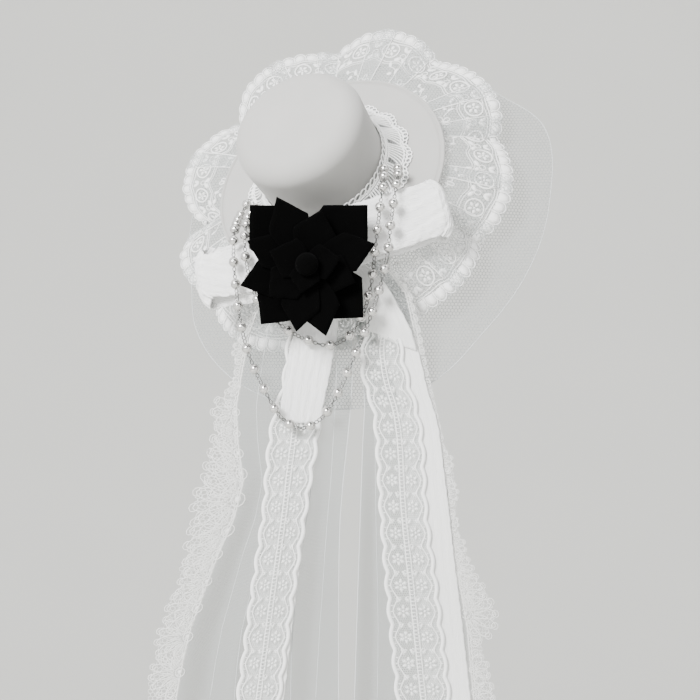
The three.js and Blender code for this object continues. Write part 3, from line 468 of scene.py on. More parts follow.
def cloth(name, point, across, down, material, flat, thick=0.0, closed=False):
    """A cloth on point(u, v): one layer if thick is 0, otherwise a closed one of even thickness."""
    columns = across if closed else across + 1
    u, v = np.meshgrid(np.arange(columns) / across, np.arange(down + 1) / down, indexing="ij")
    u, v = u.ravel(), v.ravel()
    middle = point(u, v)
    place = flat(u, v)
    i, j = np.meshgrid(np.arange(across), np.arange(down), indexing="ij")
    i, j = i.ravel(), j.ravel()

    def at(a, b):
        return (a % columns) * (down + 1) + b

    top = np.stack([at(i, j), at(i + 1, j), at(i + 1, j + 1), at(i, j + 1)], 1)
    if thick == 0:
        return make_piece(name, middle, [top], material, place)
    normal = normals_of(point, u, v)
    points = np.concatenate([middle + normal * thick / 2, middle - normal * thick / 2])
    n = len(middle)
    i = np.arange(across)
    near = np.stack([at(i, 0) + n, at(i + 1, 0) + n, at(i + 1, 0), at(i, 0)], 1)
    far = np.stack([at(i + 1, down) + n, at(i, down) + n, at(i, down), at(i + 1, down)], 1)
    blocks = [top, top[:, ::-1] + n, near, far]
    if not closed:
        j = np.arange(down)
        blocks.append(np.stack([at(0, j + 1) + n, at(0, j) + n, at(0, j), at(0, j + 1)], 1))
        last = across * (down + 1)
        blocks.append(np.stack([last + j + n, last + j + 1 + n, last + j + 1, last + j], 1))
    return make_piece(name, points, blocks, material, np.concatenate([place, place]))


def tube_quads(rows, sides, closed=False):
    """The faces of a tube with sides corners in each ring, joined end to end if closed."""
    i, j = np.meshgrid(np.arange(rows), np.arange(sides), indexing="ij")
    i, j = i.ravel(), j.ravel()
    following, side = ((i + 1) % rows if closed else i + 1), (j + 1) % sides
    return np.stack([i * sides + j, i * sides + side, following * sides + side, following * sides + j], 1)


def lathe(name, profile, segments, material, place):
    """A closed profile of (radius, height) turned about +Z, then put in place."""
    profile = np.asarray(profile, float)
    turn = np.arange(segments) / segments * 2 * np.pi
    points = np.stack([np.outer(np.cos(turn), profile[:, 0]), np.outer(np.sin(turn), profile[:, 0]),
                       np.tile(profile[:, 1], (segments, 1))], -1)
    n = len(profile)
    i, j = np.meshgrid(np.arange(segments), np.arange(n - 1), indexing="ij")
    i, j = i.ravel(), j.ravel()
    quads = np.stack([i * n + j, ((i + 1) % segments) * n + j, ((i + 1) % segments) * n + j + 1,
                      i * n + j + 1], 1)
    piece = make_piece(name, place(points.reshape(-1, 3)), [quads], material)
    tidy_seams(piece)
    return piece


def tidy_seams(piece):
    """Joins doubled points, such as those on a lathe's axis."""
    shape = bmesh.new()
    shape.from_mesh(piece.data)
    bmesh.ops.remove_doubles(shape, verts=shape.verts, dist=1e-6)
    bmesh.ops.dissolve_degenerate(shape, edges=shape.edges, dist=1e-7)
    bmesh.ops.recalc_face_normals(shape, faces=shape.faces)
    for face in shape.faces:
        face.smooth = True
    shape.to_mesh(piece.data)
    shape.free()


def strung(name, shapes, material):
    """Many small shapes, each given as points and faces, as one piece."""
    firsts = np.cumsum([0] + [len(points) for points, _ in shapes[:-1]])
    points = np.vstack([points for points, _ in shapes])
    quads = np.vstack([quads + first for (_, quads), first in zip(shapes, firsts)])
    piece = make_piece(name, points, [quads], material)
    tidy_seams(piece)
    return piece


def worked_on(point, to_uv, facing=1):
    """A surface that lace is worked on: flat places in mm to points and the normals seen from outside."""

    def surface(places):
        u, v = to_uv(places)
        step = 1e-3
        du = point(u + step, v) - point(u - step, v)
        dv = point(u, v + step) - point(u, v - step)
        return point(u, v), facing * unit(np.cross(du, dv))

    return surface


def share_place(places):
    """For lace whose places are already shares of the cloth."""
    return places[:, 0], places[:, 1]


class Lace:
    """Threads and solid stitched patches worked on one cloth. Places are flat mm on the cloth."""

    def __init__(self, surface):
        self.surface = surface
        self.threads = []
        self.patches = []

    def thread(self, path, radius, closed=False, lift=0.0, sides=4, thick=None):
        self.threads.append((np.asarray(path, float), radius, closed, lift, sides, thick or radius))

    def patch(self, outline, thick=0.35, lift=0.0):
        self.patches.append((np.asarray(outline, float), thick, lift))

    def make(self, name, material):
        places = [t[0] for t in self.threads]
        places += [np.vstack([outline, outline.mean(0)]) for outline, _, _ in self.patches]
        position, normal = self.surface(np.vstack(places))
        starts = np.concatenate([[0], np.cumsum([len(p) for p in places])])
        points, blocks, first = [], {}, 0
        for k, (path, radius, closed, lift, sides, thick) in enumerate(self.threads):
            p = position[starts[k]:starts[k + 1]]
            n = normal[starts[k]:starts[k + 1]]
            t = unit(np.roll(p, -1, 0) - np.roll(p, 1, 0) if closed else np.gradient(p, axis=0))
            b = unit(np.cross(t, n))
            turn = (np.arange(sides) + 0.5) / sides * 2 * np.pi
            ring = (p + n * lift)[:, None] + (radius * np.cos(turn)[None, :, None] * b[:, None]
                                              + thick * np.sin(turn)[None, :, None] * n[:, None])
            count = len(p)
            points.append(ring.reshape(-1, 3))
            i, c = np.meshgrid(np.arange(count if closed else count - 1), np.arange(sides), indexing="ij")
            i, c = i.ravel(), c.ravel()
            nxt, side = (i + 1) % count, (c + 1) % sides
            blocks.setdefault(4, []).append(first + np.stack(
                [i * sides + c, nxt * sides + c, nxt * sides + side, i * sides + side], 1))
            if not closed:
                end = np.arange(sides)[None]
                blocks.setdefault(sides, []).append(first + end)
                blocks.setdefault(sides, []).append(first + (count - 1) * sides + end[:, ::-1])
            first += count * sides
        offset = len(self.threads)
        for k, (outline, thick, lift) in enumerate(self.patches):
            p = position[starts[offset + k]:starts[offset + k + 1]]
            n = normal[starts[offset + k]:starts[offset + k + 1]]
            m = len(outline)
            if np.cross(p[0] - p[m], p[1] - p[m]) @ n[m] < 0:
                p = np.vstack([p[:m][::-1], p[m:]])
            dome = np.full(m + 1, thick / 2)
            dome[:-1] *= 0.45
            points.append(p + n * (lift + dome)[:, None])
            points.append(p + n * (lift - dome)[:, None])
            i = np.arange(m)
            nxt = (i + 1) % m
            over = np.stack([np.full(m, m), i, nxt], 1)
            blocks.setdefault(3, []).append(first + over)
            blocks.setdefault(3, []).append(first + over[:, ::-1] + m + 1)
            blocks.setdefault(4, []).append(first + np.stack([i, i + m + 1, nxt + m + 1, nxt], 1))
            first += 2 * (m + 1)
        return make_piece(name, np.vstack(points), [np.vstack(b) for b in blocks.values()], material)


def arc(centre, radius, start, end, count, squash=1.0):
    a = np.radians(np.linspace(start, end, count))
    return np.stack([centre[0] + radius * np.cos(a), centre[1] + radius * squash * np.sin(a)], 1)


def oval(centre, long, wide, heading, count=12):
    """A closed oval ring of places, its long axis turned by heading."""
    a = np.arange(count) / count * 2 * np.pi
    h = math.radians(heading)
    x, y = long / 2 * np.cos(a), wide / 2 * np.sin(a)
    return np.stack([centre[0] + x * math.cos(h) - y * math.sin(h),
                     centre[1] + x * math.sin(h) + y * math.cos(h)], 1)


def away(centre, reach, heading):
    return (centre[0] + reach * math.cos(math.radians(heading)),
            centre[1] + reach * math.sin(math.radians(heading)))


def line(start, end, steps=2, bow=0.0):
    """Places from start to end, bowed aside in the middle."""
    t = np.linspace(0, 1, steps)[:, None]
    start, end = np.array(start, float), np.array(end, float)
    aside = np.array([start[1] - end[1], end[0] - start[0]])
    aside = aside / max(np.hypot(*aside), 1e-9)
    return start + (end - start) * t + aside * bow * np.sin(np.pi * t)


def flower(lace, centre, radius, petals, turn=0.0, thick=0.4, lift=0.2):
    """A stitched flower: solid oval petals round a small centre."""
    for k in range(petals):
        heading = turn + 360 * k / petals
        lace.patch(oval(away(centre, radius * 0.62, heading), radius * 0.76, radius * 0.5, heading, 8),
                   thick, lift)
    lace.patch(oval(centre, radius * 0.4, radius * 0.4, 0, 6), thick * 1.4, lift)


def open_flower(lace, centre, radius, petals, turn=0.0, yarn=0.3, lift=0.1):
    """A flower of thread loops with a ring for its heart."""
    for k in range(petals):
        heading = turn + 360 * k / petals
        lace.thread(oval(away(centre, radius * 0.62, heading), radius * 0.76, radius * 0.6, heading, 9),
                    yarn, True, lift)
    lace.thread(oval(centre, radius * 0.4, radius * 0.4, 0, 8), yarn, True, lift)


def daisy_fan(lace, hub, radius, heading, spread, petals, yarn=0.36, lift=0.0):
    """A fan of long looped petals on a hub, each with a rounded tip loop, as in the veil's edge."""
    for k in range(petals):
        turn = heading + spread * ((k + 0.5) / petals - 0.5)
        wide = 2 * math.radians(spread / petals) * radius * 0.62 * 0.62
        wide = min(wide, radius * 0.5)
        lace.thread(oval(away(hub, radius * 0.58, turn), radius * 0.74, wide, turn, 12), yarn, True, lift)
        tip_loop = oval(away(hub, radius * 0.93, turn), radius * 0.2, wide * 0.7, turn, 8)
        lace.thread(tip_loop, yarn * 0.9, True, lift + 0.2)
        rib = line(away(hub, radius * 0.2, turn), away(hub, radius * 0.62, turn), 3)
        lace.thread(rib, yarn * 0.7, False, lift)
    lace.thread(oval(hub, radius * 0.3, radius * 0.3, 0, 10), yarn * 1.1, True, lift)
    lace.patch(oval(hub, radius * 0.16, radius * 0.16, 0, 6), 0.7, lift)


# Surfaces, as the part's source has them
def band_point(u, v):
    turn = -u * 2 * np.pi
    scallop = np.abs(np.sin(turn * BAND_SCALLOPS / 2))
    reach = BAND_REACH - BAND_SCALLOP_DEPTH * (1 - scallop)
    radius = CROWN_WAIST_RADIUS + TOUCH + BAND_WALL / 2 + reach * np.maximum(v, 0) ** BAND_FLARE
    height = FELT + TOUCH + BAND_WALL / 2 + BAND_RISE * np.maximum(1 - v, 0) ** BAND_SINK
    return from_hat(np.stack([radius * np.cos(turn), radius * np.sin(turn), height], -1))


def ruffle_fold(degrees):
    first = RUFFLE_FOLDS[0, 0]
    at = first + (degrees - first) % 360
    starts = RUFFLE_FOLDS[:, 0]
    k = np.clip(np.searchsorted(starts, at, side="right") - 1, 0, len(starts) - 1)
    following = (k + 1) % len(starts)
    end = np.where(following > 0, starts[following], starts[0] + 360)
    t = (at - starts[k]) / (end - starts[k])
    crest = np.sin(np.pi * clamp01(t)) ** RUFFLE_CREST_ROUND
    reach = lerp(lerp(RUFFLE_FOLDS[k, 1], RUFFLE_FOLDS[following, 1], t), RUFFLE_FOLDS[k, 2], crest)
    return reach, crest


def droop(degrees):
    middle = (RUFFLE_DROOP_MOST + RUFFLE_DROOP_LEAST) / 2
    swing = (RUFFLE_DROOP_MOST - RUFFLE_DROOP_LEAST) / 2
    return middle + swing * np.cos(np.radians(degrees - DROOP_ANGLE))


def ruffle_point(u, v):
    turn = u * 2 * np.pi
    reach, crest = ruffle_fold(u * 360)
    radius = RUFFLE_INNER_RADIUS + RUFFLE_LACE_WIDTH * reach * v
    rise = RUFFLE_FOLD_DEPTH * np.minimum(crest - RUFFLE_FOLD_MIDDLE, RUFFLE_FOLD_CEILING) * v
    height = rise - (CLOTH / 2 + TOUCH) - droop(u * 360) * np.maximum(v, 0) ** RUFFLE_DROOP_BEND
    # The gathers: small pleats that open out towards the lace's edge.
    gathers, gather_depth = 46, 0.9
    height = height + (gather_depth * np.sin(turn * gathers + 2.0 * np.sin(turn * 5))
                       * smooth(v * 3) * (1 - 0.5 * v))
    return from_hat(np.stack([radius * np.cos(turn), radius * np.sin(turn), height], -1))


def net_point(u, v):
    degrees = (u * 360 + 120) % 360 - 120
    turn = u * 2 * np.pi
    radius = NET_INNER_RADIUS + NET_CUT_WIDTH * along(NET_REACH, degrees, 1) * v
    reach, _ = ruffle_fold(degrees)
    share = clamp01((radius - RUFFLE_INNER_RADIUS) / (RUFFLE_LACE_WIDTH * reach))
    above = droop(degrees) * share ** RUFFLE_DROOP_BEND + RUFFLE_FOLD_DEPTH * share
    seat = CLOTH * 1.5 + TOUCH * 3.5
    height = -seat - above - NET_EXTRA_DROOP * np.maximum(v, 0) ** NET_DROOP_BEND
    return from_hat(np.stack([radius * np.cos(turn), radius * np.sin(turn), height], -1))


def hanging_y(share, layer):
    bow = FALL_BOW * np.sin(np.pi * clamp01((share - BOW_START) / (1 - BOW_START))) ** 2
    return PAD_FRONT_Y - TOUCH - CLOTH / 2 - LAYER * layer - bow


def hanging(left, right, start, end, layer, pleats=0, extra=None):
    """point(u, v) of a strip that hangs between two edges, its top at v = 0."""

    def point(u, v):
        share = lerp(start, end, v)
        x = lerp(left(share), right(share), u)
        pleat = PLEAT_DEPTH * smooth((share - PLEAT_START) / PLEAT_SPREAD) * np.sin(np.pi * pleats * u) ** 2
        y = hanging_y(share, layer) + pleat
        z = GATHER_Z - FALL * share
        if extra is not None:
            dx, dy = extra(u, share)
            x, y = x + dx, y + dy
        return np.stack([x, y, z * np.ones_like(x)], -1)

    return point


def seam(rows):
    edges = VEIL_WIDTH * along(rows, np.arange(VEIL_ROWS + 1) / VEIL_ROWS, 1)
    return lambda share: np.interp(share, np.arange(VEIL_ROWS + 1) / VEIL_ROWS, edges)


# The felt hat
def rounded(radius, centre_r, centre_z, start, end, steps):
    a = np.radians(np.linspace(start, end, steps))
    return list(zip(centre_r + radius * np.cos(a), centre_z + radius * np.sin(a)))


def felt_crown():
    # The felt rolls over its edge more softly than the few flats of the source can show.
    r = CROWN_EDGE_ROUND + FELT_ROLL
    inner = r - FELT
    waist = BAND_RISE + FELT
    centre_r, centre_z = CROWN_TOP_RADIUS - r, CROWN_HEIGHT - r
    profile = [(0.01, CROWN_HEIGHT - FELT)]
    profile += [(x, CROWN_HEIGHT - FELT) for x in np.linspace(6, centre_r - 1, 6)]
    profile += rounded(inner, centre_r, centre_z, 90, 0, 8)
    profile += [(lerp(CROWN_TOP_RADIUS - FELT, CROWN_WAIST_RADIUS - FELT, t), lerp(centre_z, waist, t))
                for t in np.linspace(0.15, 1, 6)]
    profile += [(CROWN_WAIST_RADIUS - FELT, 0.3), (CROWN_WAIST_RADIUS - FELT + 0.3, 0),
                (CROWN_WAIST_RADIUS - 0.3, 0), (CROWN_WAIST_RADIUS, 0.3)]
    profile += [(lerp(CROWN_WAIST_RADIUS, CROWN_TOP_RADIUS, t), lerp(waist, centre_z, t))
                for t in np.linspace(0, 0.9, 8)]
    profile += rounded(r, centre_r, centre_z, 0, 90, 14)
    profile += [(x, CROWN_HEIGHT) for x in np.linspace(centre_r - 1, 6, 8)] + [(0.01, CROWN_HEIGHT)]
    piece = lathe("felt_crown_cloth", profile, 144, FELT_CLOTH, from_hat)
    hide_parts("felt_crown")


def felt_brim():
    foot = CROWN_WAIST_RADIUS + TOUCH
    half = FELT / 2
    profile = [(foot, 0.2), (foot + 0.2, 0)]
    profile += [(x, 0) for x in np.linspace(foot + 4, BRIM_RADIUS - 3, 6)]
    profile += rounded(half, BRIM_RADIUS - half, half, -90, 90, 9)
    # A stitched channel just inside the edge, which leaves a raised rim.
    profile += [(BRIM_RADIUS - inward, FELT - sunk)
                for inward, sunk in ((1.5, 0.05), (1.9, 0.9), (2.6, 0.95), (3.1, 0.3), (3.8, 0.0))]
    profile += [(x, FELT) for x in np.linspace(BRIM_RADIUS - 6, foot + 4, 6)]
    profile += [(foot + 0.2, FELT), (foot, FELT - 0.2), (foot, 0.2)]
    piece = lathe("felt_brim_cloth", profile, 180, FELT_CLOTH, from_hat)
    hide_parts("felt_brim")


felt_crown()
felt_brim()


# The ruffle and the net disc
def ruffle_flat(u, v):
    return np.stack([u * RUFFLE_TURN, v * RUFFLE_LACE_WIDTH], -1)


ruffle_net = cloth("lace_ruffle_net", ruffle_point, 720, 20, RUFFLE_NET, ruffle_flat,
                   closed=True)
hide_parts("lace_ruffle")


def ruffle_stitching():
    """The ruffle's stitched pattern, from its lobed edge in to the brim. Places are mm along the lace and
    mm out from its seam."""
    lace = Lace(worked_on(ruffle_point, lambda p: (p[:, 0] / RUFFLE_TURN, p[:, 1] / RUFFLE_LACE_WIDTH), -1))
    edge = RUFFLE_LACE_WIDTH
    lobes, repeats = 96, 32
    pitch, repeat = RUFFLE_TURN / lobes, RUFFLE_TURN / repeats
    for k in range(lobes):
        x = (k + 0.5) * pitch
        lobe = np.vstack([[[x - pitch * 0.44, edge - 6.6]], arc((x, edge - 3.6), pitch * 0.49, 180, 0, 11),
                          [[x + pitch * 0.44, edge - 6.6]]])
        inner = np.array([x, edge - 4.0]) + (lobe - [x, edge - 4.0]) * 0.84
        lace.patch(inner, 0.3, 0.1)
        lace.thread(lobe, 0.36, False, 0.25)
    around = np.linspace(0, RUFFLE_TURN, 721)[:-1]
    for depth, swing, yarn in ((edge - 7.0, 0.35, 0.42), (edge - 8.6, 0.5, 0.3), (edge - 21.2, 1.1, 0.34),
                               (edge - 22.6, 1.1, 0.26)):
        wavy = depth + swing * np.cos(around / repeat * 2 * np.pi)
        lace.thread(np.stack([around, wavy], 1), yarn, True, 0.15)
    for k in range(repeats):
        x = (k + 0.5) * repeat
        heart = (x, edge - 14.6)
        lace.thread(oval(heart, 10.6, 9.8, 0, 20), 0.6, True, 0.25)
        flower(lace, heart, 3.7, 5, 90 * (k % 2), 0.45, 0.2)
        side = (x + repeat / 2, edge - 13.2)
        lace.patch(oval(away(side, 2.6, 60), 4.8, 2.5, 55, 9), 0.4, 0.15)
        lace.patch(oval(away(side, 2.6, 120), 4.8, 2.5, 125, 9), 0.4, 0.15)
        lace.thread(oval(away(side, 2.9, -90), 4.0, 3.4, 0, 10), 0.34, True, 0.15)
        lace.patch(oval(away(side, 6.2, -65), 5.0, 2.7, -25, 9), 0.4, 0.15)
        lace.patch(oval(away(side, 6.2, -115), 5.0, 2.7, 25, 9), 0.4, 0.15)
    sprigs = 20
    for k in range(sprigs):
        x, low = (k + 0.5) * RUFFLE_TURN / sprigs, 13.5 + 3.5 * (k % 2)
        open_flower(lace, (x, low), 5.4, 5, 20 + 40 * (k % 3), 0.42)
        lace.thread(line((x + 5, low + 2), (x + 17, low + 9), 7, 2.5), 0.34, False, 0.1)
        lace.patch(oval((x + 9, low + 7.4), 4.6, 2.4, 80, 8), 0.35, 0.1)
        lace.patch(oval((x + 13, low + 4.4), 4.6, 2.4, -10, 8), 0.35, 0.1)
        lace.patch(oval((x + 17, low + 10.6), 4.4, 2.4, 55, 8), 0.35, 0.1)
        lace.patch(oval((x - 8, low - 3.6), 4.4, 2.2, 20, 8), 0.35, 0.1)
    return lace.make("ruffle_stitching", LACE_THREAD)


ruffle_stitches = ruffle_stitching()


def ruffle_pleat(index, valley, seed):
    """One gathered pleat: a fold of the same net laid over the ruffle, with a corded crease."""
    picks = np.random.default_rng(seed)
    turned = picks.uniform(5, 8)
    lean = picks.uniform(-3, 3)
    wide = math.radians(turned) * PLEAT_RADIUS

    def point(u, v):
        at = (valley + turned * (u - 0.2) + lean * v) / 360
        lifted = 0.5 + 1.6 * np.sin(np.pi * clamp01(u)) * (0.4 + 0.6 * v)
        return ruffle_point(at, v) + HAT_TURN[:, 2] * lifted[..., None]

    fold = cloth(f"ruffle_pleat_{index + 1:02d}", point, 8, 18, RUFFLE_NET,
                 lambda u, v: np.stack([u * wide + PLEAT_PATTERN_SHIFT, v * RUFFLE_LACE_WIDTH], -1))
    crease = Lace(worked_on(point, share_place, -1))
    down = np.linspace(0.02, 0.86, 14)
    crease.thread(np.stack([0.02 + 0.02 * np.sin(down * 9), down], 1), 0.42, False, 0.1)
    crease.thread(np.stack([0.98 + 0.02 * np.cos(down * 7), down], 1), 0.3, False, 0.1)
    return [fold, crease.make(f"ruffle_crease_{index + 1:02d}", LACE_THREAD)]


ruffle_folds = []
SECOND_PLEAT = 17
for index, valley in enumerate(RUFFLE_FOLDS[:, 0]):
    ruffle_folds += ruffle_pleat(index, valley, 60 + index)
    ruffle_folds += ruffle_pleat(index + len(RUFFLE_FOLDS), valley + SECOND_PLEAT, 90 + index)

disc_net = cloth("net_disc_cloth", net_point, 240, 16, DISC_NET,
                 lambda u, v: np.stack([net_point(u, v)[..., 0], net_point(u, v)[..., 2]], -1), closed=True)
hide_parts("net_disc")
disc_edge = Lace(worked_on(net_point, share_place, -1))
HEM_STEPS, HEM_PLACE, HEM_YARN = 300, 0.994, 0.22
disc_edge.thread([(k / HEM_STEPS, HEM_PLACE) for k in range(HEM_STEPS)], HEM_YARN, True)
disc_hem = disc_edge.make("net_disc_hem", VEIL_HEM_AND_CREASE_HIGHLIGHT)


# Ribbons
def tail_edges(rows, width):
    half = lambda share: width * along(rows, share, 2) / 2
    middle = lambda share: FALL * along(rows, share, 1)
    return (lambda share: middle(share) - half(share)), (lambda share: middle(share) + half(share))


def ribbon_tail(name, node, rows, width, layer, material, crinkle, seed, slant=0.0, settle=0.0):
    """slant is how much sooner, as a share of its length, the left edge ends than the right one,
    and settle is how far its end lies back, in mm."""
    left, right = tail_edges(rows, width)
    start, end = rows[0][0], rows[-1][0]

    def extra(u, share):
        # Long soft crinkles down the ribbon, and edges that waver as a cut crepe edge does.
        y = crinkle * wave(u * 34 + 0.8 * wave(share * 40, seed + 1), seed)
        edge = np.abs(2 * u - 1) ** 8 * np.sign(2 * u - 1)
        return 0.35 * edge * wave(share * 190, seed + 2), y * (1 - 0.4 * np.abs(edge))

    straight = hanging(left, right, start, end, layer, extra=extra)

    def point(u, v):
        down = v * (1 - slant * (1 - u) - 0.012 * (wave(u * 9, seed + 3) + 1) * (slant > 0))
        place = straight(u, down)
        place[..., 1] += settle * smooth((v - 0.75) / 0.25) * lerp(0.4, 1.0, u)
        return place

    length = FALL * (end - start)
    piece = cloth(name, point, 36, int(length / 2), material,
                  lambda u, v: np.stack([u * width, v * length], -1), thick=RIBBON_WALL)
    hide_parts(node)
    mean = np.mean(along(rows, np.linspace(start, end, 50), 2)) * width


ribbon_tail("satin_tail_left_ribbon", "satin_tail_left", SATIN_LEFT, RIBBON_WIDTH, 1, SATIN, 0.12, 3)
ribbon_tail("satin_tail_right_ribbon", "satin_tail_right", SATIN_RIGHT, RIBBON_WIDTH, 1, SATIN, 0.12, 4)
ribbon_tail("short_tail_left_ribbon", "short_tail_left", SHORT_LEFT, SHORT_RIBBON_WIDTH, 3, CREPE, 0.3, 5,
            0.07, 0.4)
ribbon_tail("short_tail_right_ribbon", "short_tail_right", SHORT_RIGHT, SHORT_RIBBON_WIDTH, 3, SATIN, 0.2,
            6, 0.24, 2.2)


# Lace tails
def lace_tail(name, rows):
    left, right = tail_edges(rows, LACE_WIDTH)
    start, end = rows[0][0], rows[-1][0]
    length = FALL * (end - start)

    def scallop(share):
        return LACE_SCALLOP_DEPTH * (1 - np.abs(np.sin(np.pi * share * FALL / LACE_SCALLOP)))

    point = hanging(lambda s: left(s) + scallop(s), lambda s: right(s) - scallop(s), start, end, 2)
    net = cloth(name + "_net", point, 24, int(length), RIBBON_NET,
                lambda u, v: np.stack([u * LACE_WIDTH, v * length], -1))
    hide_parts(name)
    lace = Lace(worked_on(point, lambda p: (p[:, 0] / LACE_WIDTH, p[:, 1] / length)))
    down = np.arange(0, length + 0.1, 1.25)
    first = (-start * FALL) % LACE_SCALLOP
    for side in (0, 1):
        across = lambda x: LACE_WIDTH - x if side else x
        for x, swing, yarn in ((1.2, 0.0, 1.25), (4.6, 0.9, 0.36)):
            place = across(x + swing * np.cos((down - first) / LACE_SCALLOP * 2 * np.pi))
            lace.thread(np.stack([place * np.ones_like(down), down], 1), yarn, False, 0.12, 6, 0.28)
        for y in np.arange(first - LACE_SCALLOP, length + LACE_SCALLOP, LACE_SCALLOP):
            middle, join = y + LACE_SCALLOP / 2, y
            if 0 < middle < length:
                flower(lace, (across(9.2), middle), 3.9, 6, 30, 0.4, 0.15)
                for rung in (middle - 10 / 3, middle, middle + 10 / 3):
                    lace.thread(line((across(2.4), rung), (across(3.9), rung)), 0.3, False, 0.1)
            if 0 < join < length:
                for turn in (-38, 38):
                    lace.patch(oval((across(9.2 + 0.06 * turn), join + 0.9), 4.2, 1.9,
                                    90 + (turn if side else -turn), 8), 0.35, 0.15)
                lace.patch(oval((across(6.0), join), 2.2, 3.0, 0, 7), 0.35, 0.15)
                lace.thread(oval((across(12.0), join), 2.2, 2.2, 0, 7), 0.3, True, 0.15)
    rails = (LACE_WIDTH / 2 - 1.35, LACE_WIDTH / 2 + 1.35)
    for x in rails:
        lace.thread(np.stack([np.full_like(down, x), down], 1), 0.42, False, 0.12, 6, 0.26)
    for y in np.arange(0.9, length, 2.1):
        lace.thread(line((rails[0], y), (rails[1], y)), 0.34, False, 0.1)
    return net, lace.make(name + "_stitching", LACE_THREAD)


lace_left, lace_left_stitches = lace_tail("lace_tail_left", LACE_LEFT)
lace_right, lace_right_stitches = lace_tail("lace_tail_right", LACE_RIGHT)

# Veils
left_seam, right_seam = seam(VEIL_LEFT_SEAM), seam(VEIL_RIGHT_SEAM)
left_inner, right_inner = seam(VEIL_LEFT_INNER), seam(VEIL_RIGHT_INNER)


def veil(name, node, left, right, inner_edge):
    point = hanging(left, right, 0, 1, 0, pleats=3)
    piece = cloth(name, point, 90, 60, VEIL_NET,
                  lambda u, v: np.stack([u * VEIL_WIDTH, v * FALL], -1))
    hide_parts(node)
    # The cut edge rolls, drawn as a pale thread, and the pale threads along the pleats are painted
    # highlights, where the creases catch the light.
    lines = Lace(worked_on(point, share_place))
    down = np.linspace(0.12, 0.998, 70)
    for across, yarn in ((inner_edge, 0.34), (0.18, 0.22), (0.36, 0.26), (0.52, 0.2), (0.7, 0.26),
                         (0.86, 0.22)):
        sway = 0.02 * np.sin(down * 5 + across * 20) if 0 < across < 1 else 0 * down
        lines.thread(np.stack([across + sway, down], 1), yarn)
    return piece, lines.make(name + "_edge_and_crease_highlights", VEIL_HEM_AND_CREASE_HIGHLIGHT)


veil_left, veil_left_lines = veil("veil_left_tulle", "veil_left", left_seam, left_inner, 1.0)
veil_right, veil_right_lines = veil("veil_right_tulle", "veil_right", right_inner, right_seam, 0.0)


def veil_edge(name, rows, seam_line, side, fans):
    """The veil's edge lace: a sewn head, fans of petals at the given shares of the fall, and plain rings
    between them. side is -1 where the lace lies to the left of its seam."""
    width = lambda share: VEIL_LACE_WIDTH * along(rows, share, 1)
    start = rows[0][0]
    head = lambda share: seam_line(share) + side * TOUCH
    rim = lambda share: seam_line(share) + side * (TOUCH + width(share))
    left, right = (rim, head) if side < 0 else (head, rim)
    point = hanging(left, right, start, 1, 0)
    length = FALL * (1 - start)
    piece = cloth(name + "_net", point, 12, 120, EDGE_NET,
                  lambda u, v: np.stack([u * EDGE_LACE_CUT_WIDTH, v * length], -1))
    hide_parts(name)

    def to_uv(places):
        """Places are mm out from the seam and mm below the gather."""
        share = places[:, 1] / FALL
        across = places[:, 0] / np.maximum(width(share), 2.0)
        return (1 - across if side < 0 else across), (share - start) / (1 - start)

    lace = Lace(worked_on(point, to_uv))
    fall = np.arange(start * FALL + 1, FALL - 0.5, 1.5)
    for out, yarn in ((0.5, 0.5), (1.9, 0.34)):
        lace.thread(np.stack([out + 0.25 * np.sin(fall * 1.9 + out), fall], 1), yarn, False, 0.1)
    for y in fall[::2]:
        lace.thread(line((0.5, y), (1.9, y + 0.7)), 0.3, False, 0.1)
    for at, spread, petals in fans:
        reach = float(width(np.array(at))) + 0.6
        daisy_fan(lace, (0.9, at * FALL), reach, 0, spread, petals)
    for y in np.arange(start * FALL + 4, FALL - 3, 6.2):
        reach = min(float(width(np.array(y / FALL))), 9)
        if min(abs(y - at * FALL) for at, _, _ in fans) > 4.5:
            middle = (1.9 + reach * 0.28, y)
            lace.thread(oval(middle, reach * 0.62, 4.6, 0, 10), 0.36, True, 0.1)
            lace.thread(oval(middle, reach * 0.3, 2.0, 0, 8), 0.28, True, 0.1)
    return piece, lace.make(name + "_stitching", EDGE_THREAD)


# Each fan by its share of the fall, its spread in degrees, and its number of petals.
LEFT_FANS = [(0.206, 150, 4), (0.29, 150, 4), (0.347, 160, 5), (0.395, 140, 4), (0.439, 160, 5),
             (0.484, 150, 6), (0.542, 165, 8), (0.611, 165, 7), (0.665, 160, 6), (0.725, 165, 7),
             (0.785, 165, 7), (0.85, 170, 8), (0.93, 170, 8)]
RIGHT_FANS = [(0.457, 150, 4), (0.524, 160, 5), (0.593, 150, 4), (0.645, 150, 4), (0.694, 160, 5),
              (0.746, 160, 6), (0.798, 170, 7), (0.925, 150, 4), (0.975, 150, 4)]
edge_left, edge_left_stitches = veil_edge("veil_lace_left", VEIL_LACE_LEFT, left_seam, -1, LEFT_FANS)
edge_right, edge_right_stitches = veil_edge("veil_lace_right", VEIL_LACE_RIGHT, right_seam, 1, RIGHT_FANS)

# The band
band_cloth = cloth("crown_band_cloth", band_point, 432, 8, RUFFLE_NET,
                   lambda u, v: np.stack([u * BAND_CUT_LENGTH, v * BAND_CUT_WIDTH], -1), closed=True)
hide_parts("crown_lace_band")


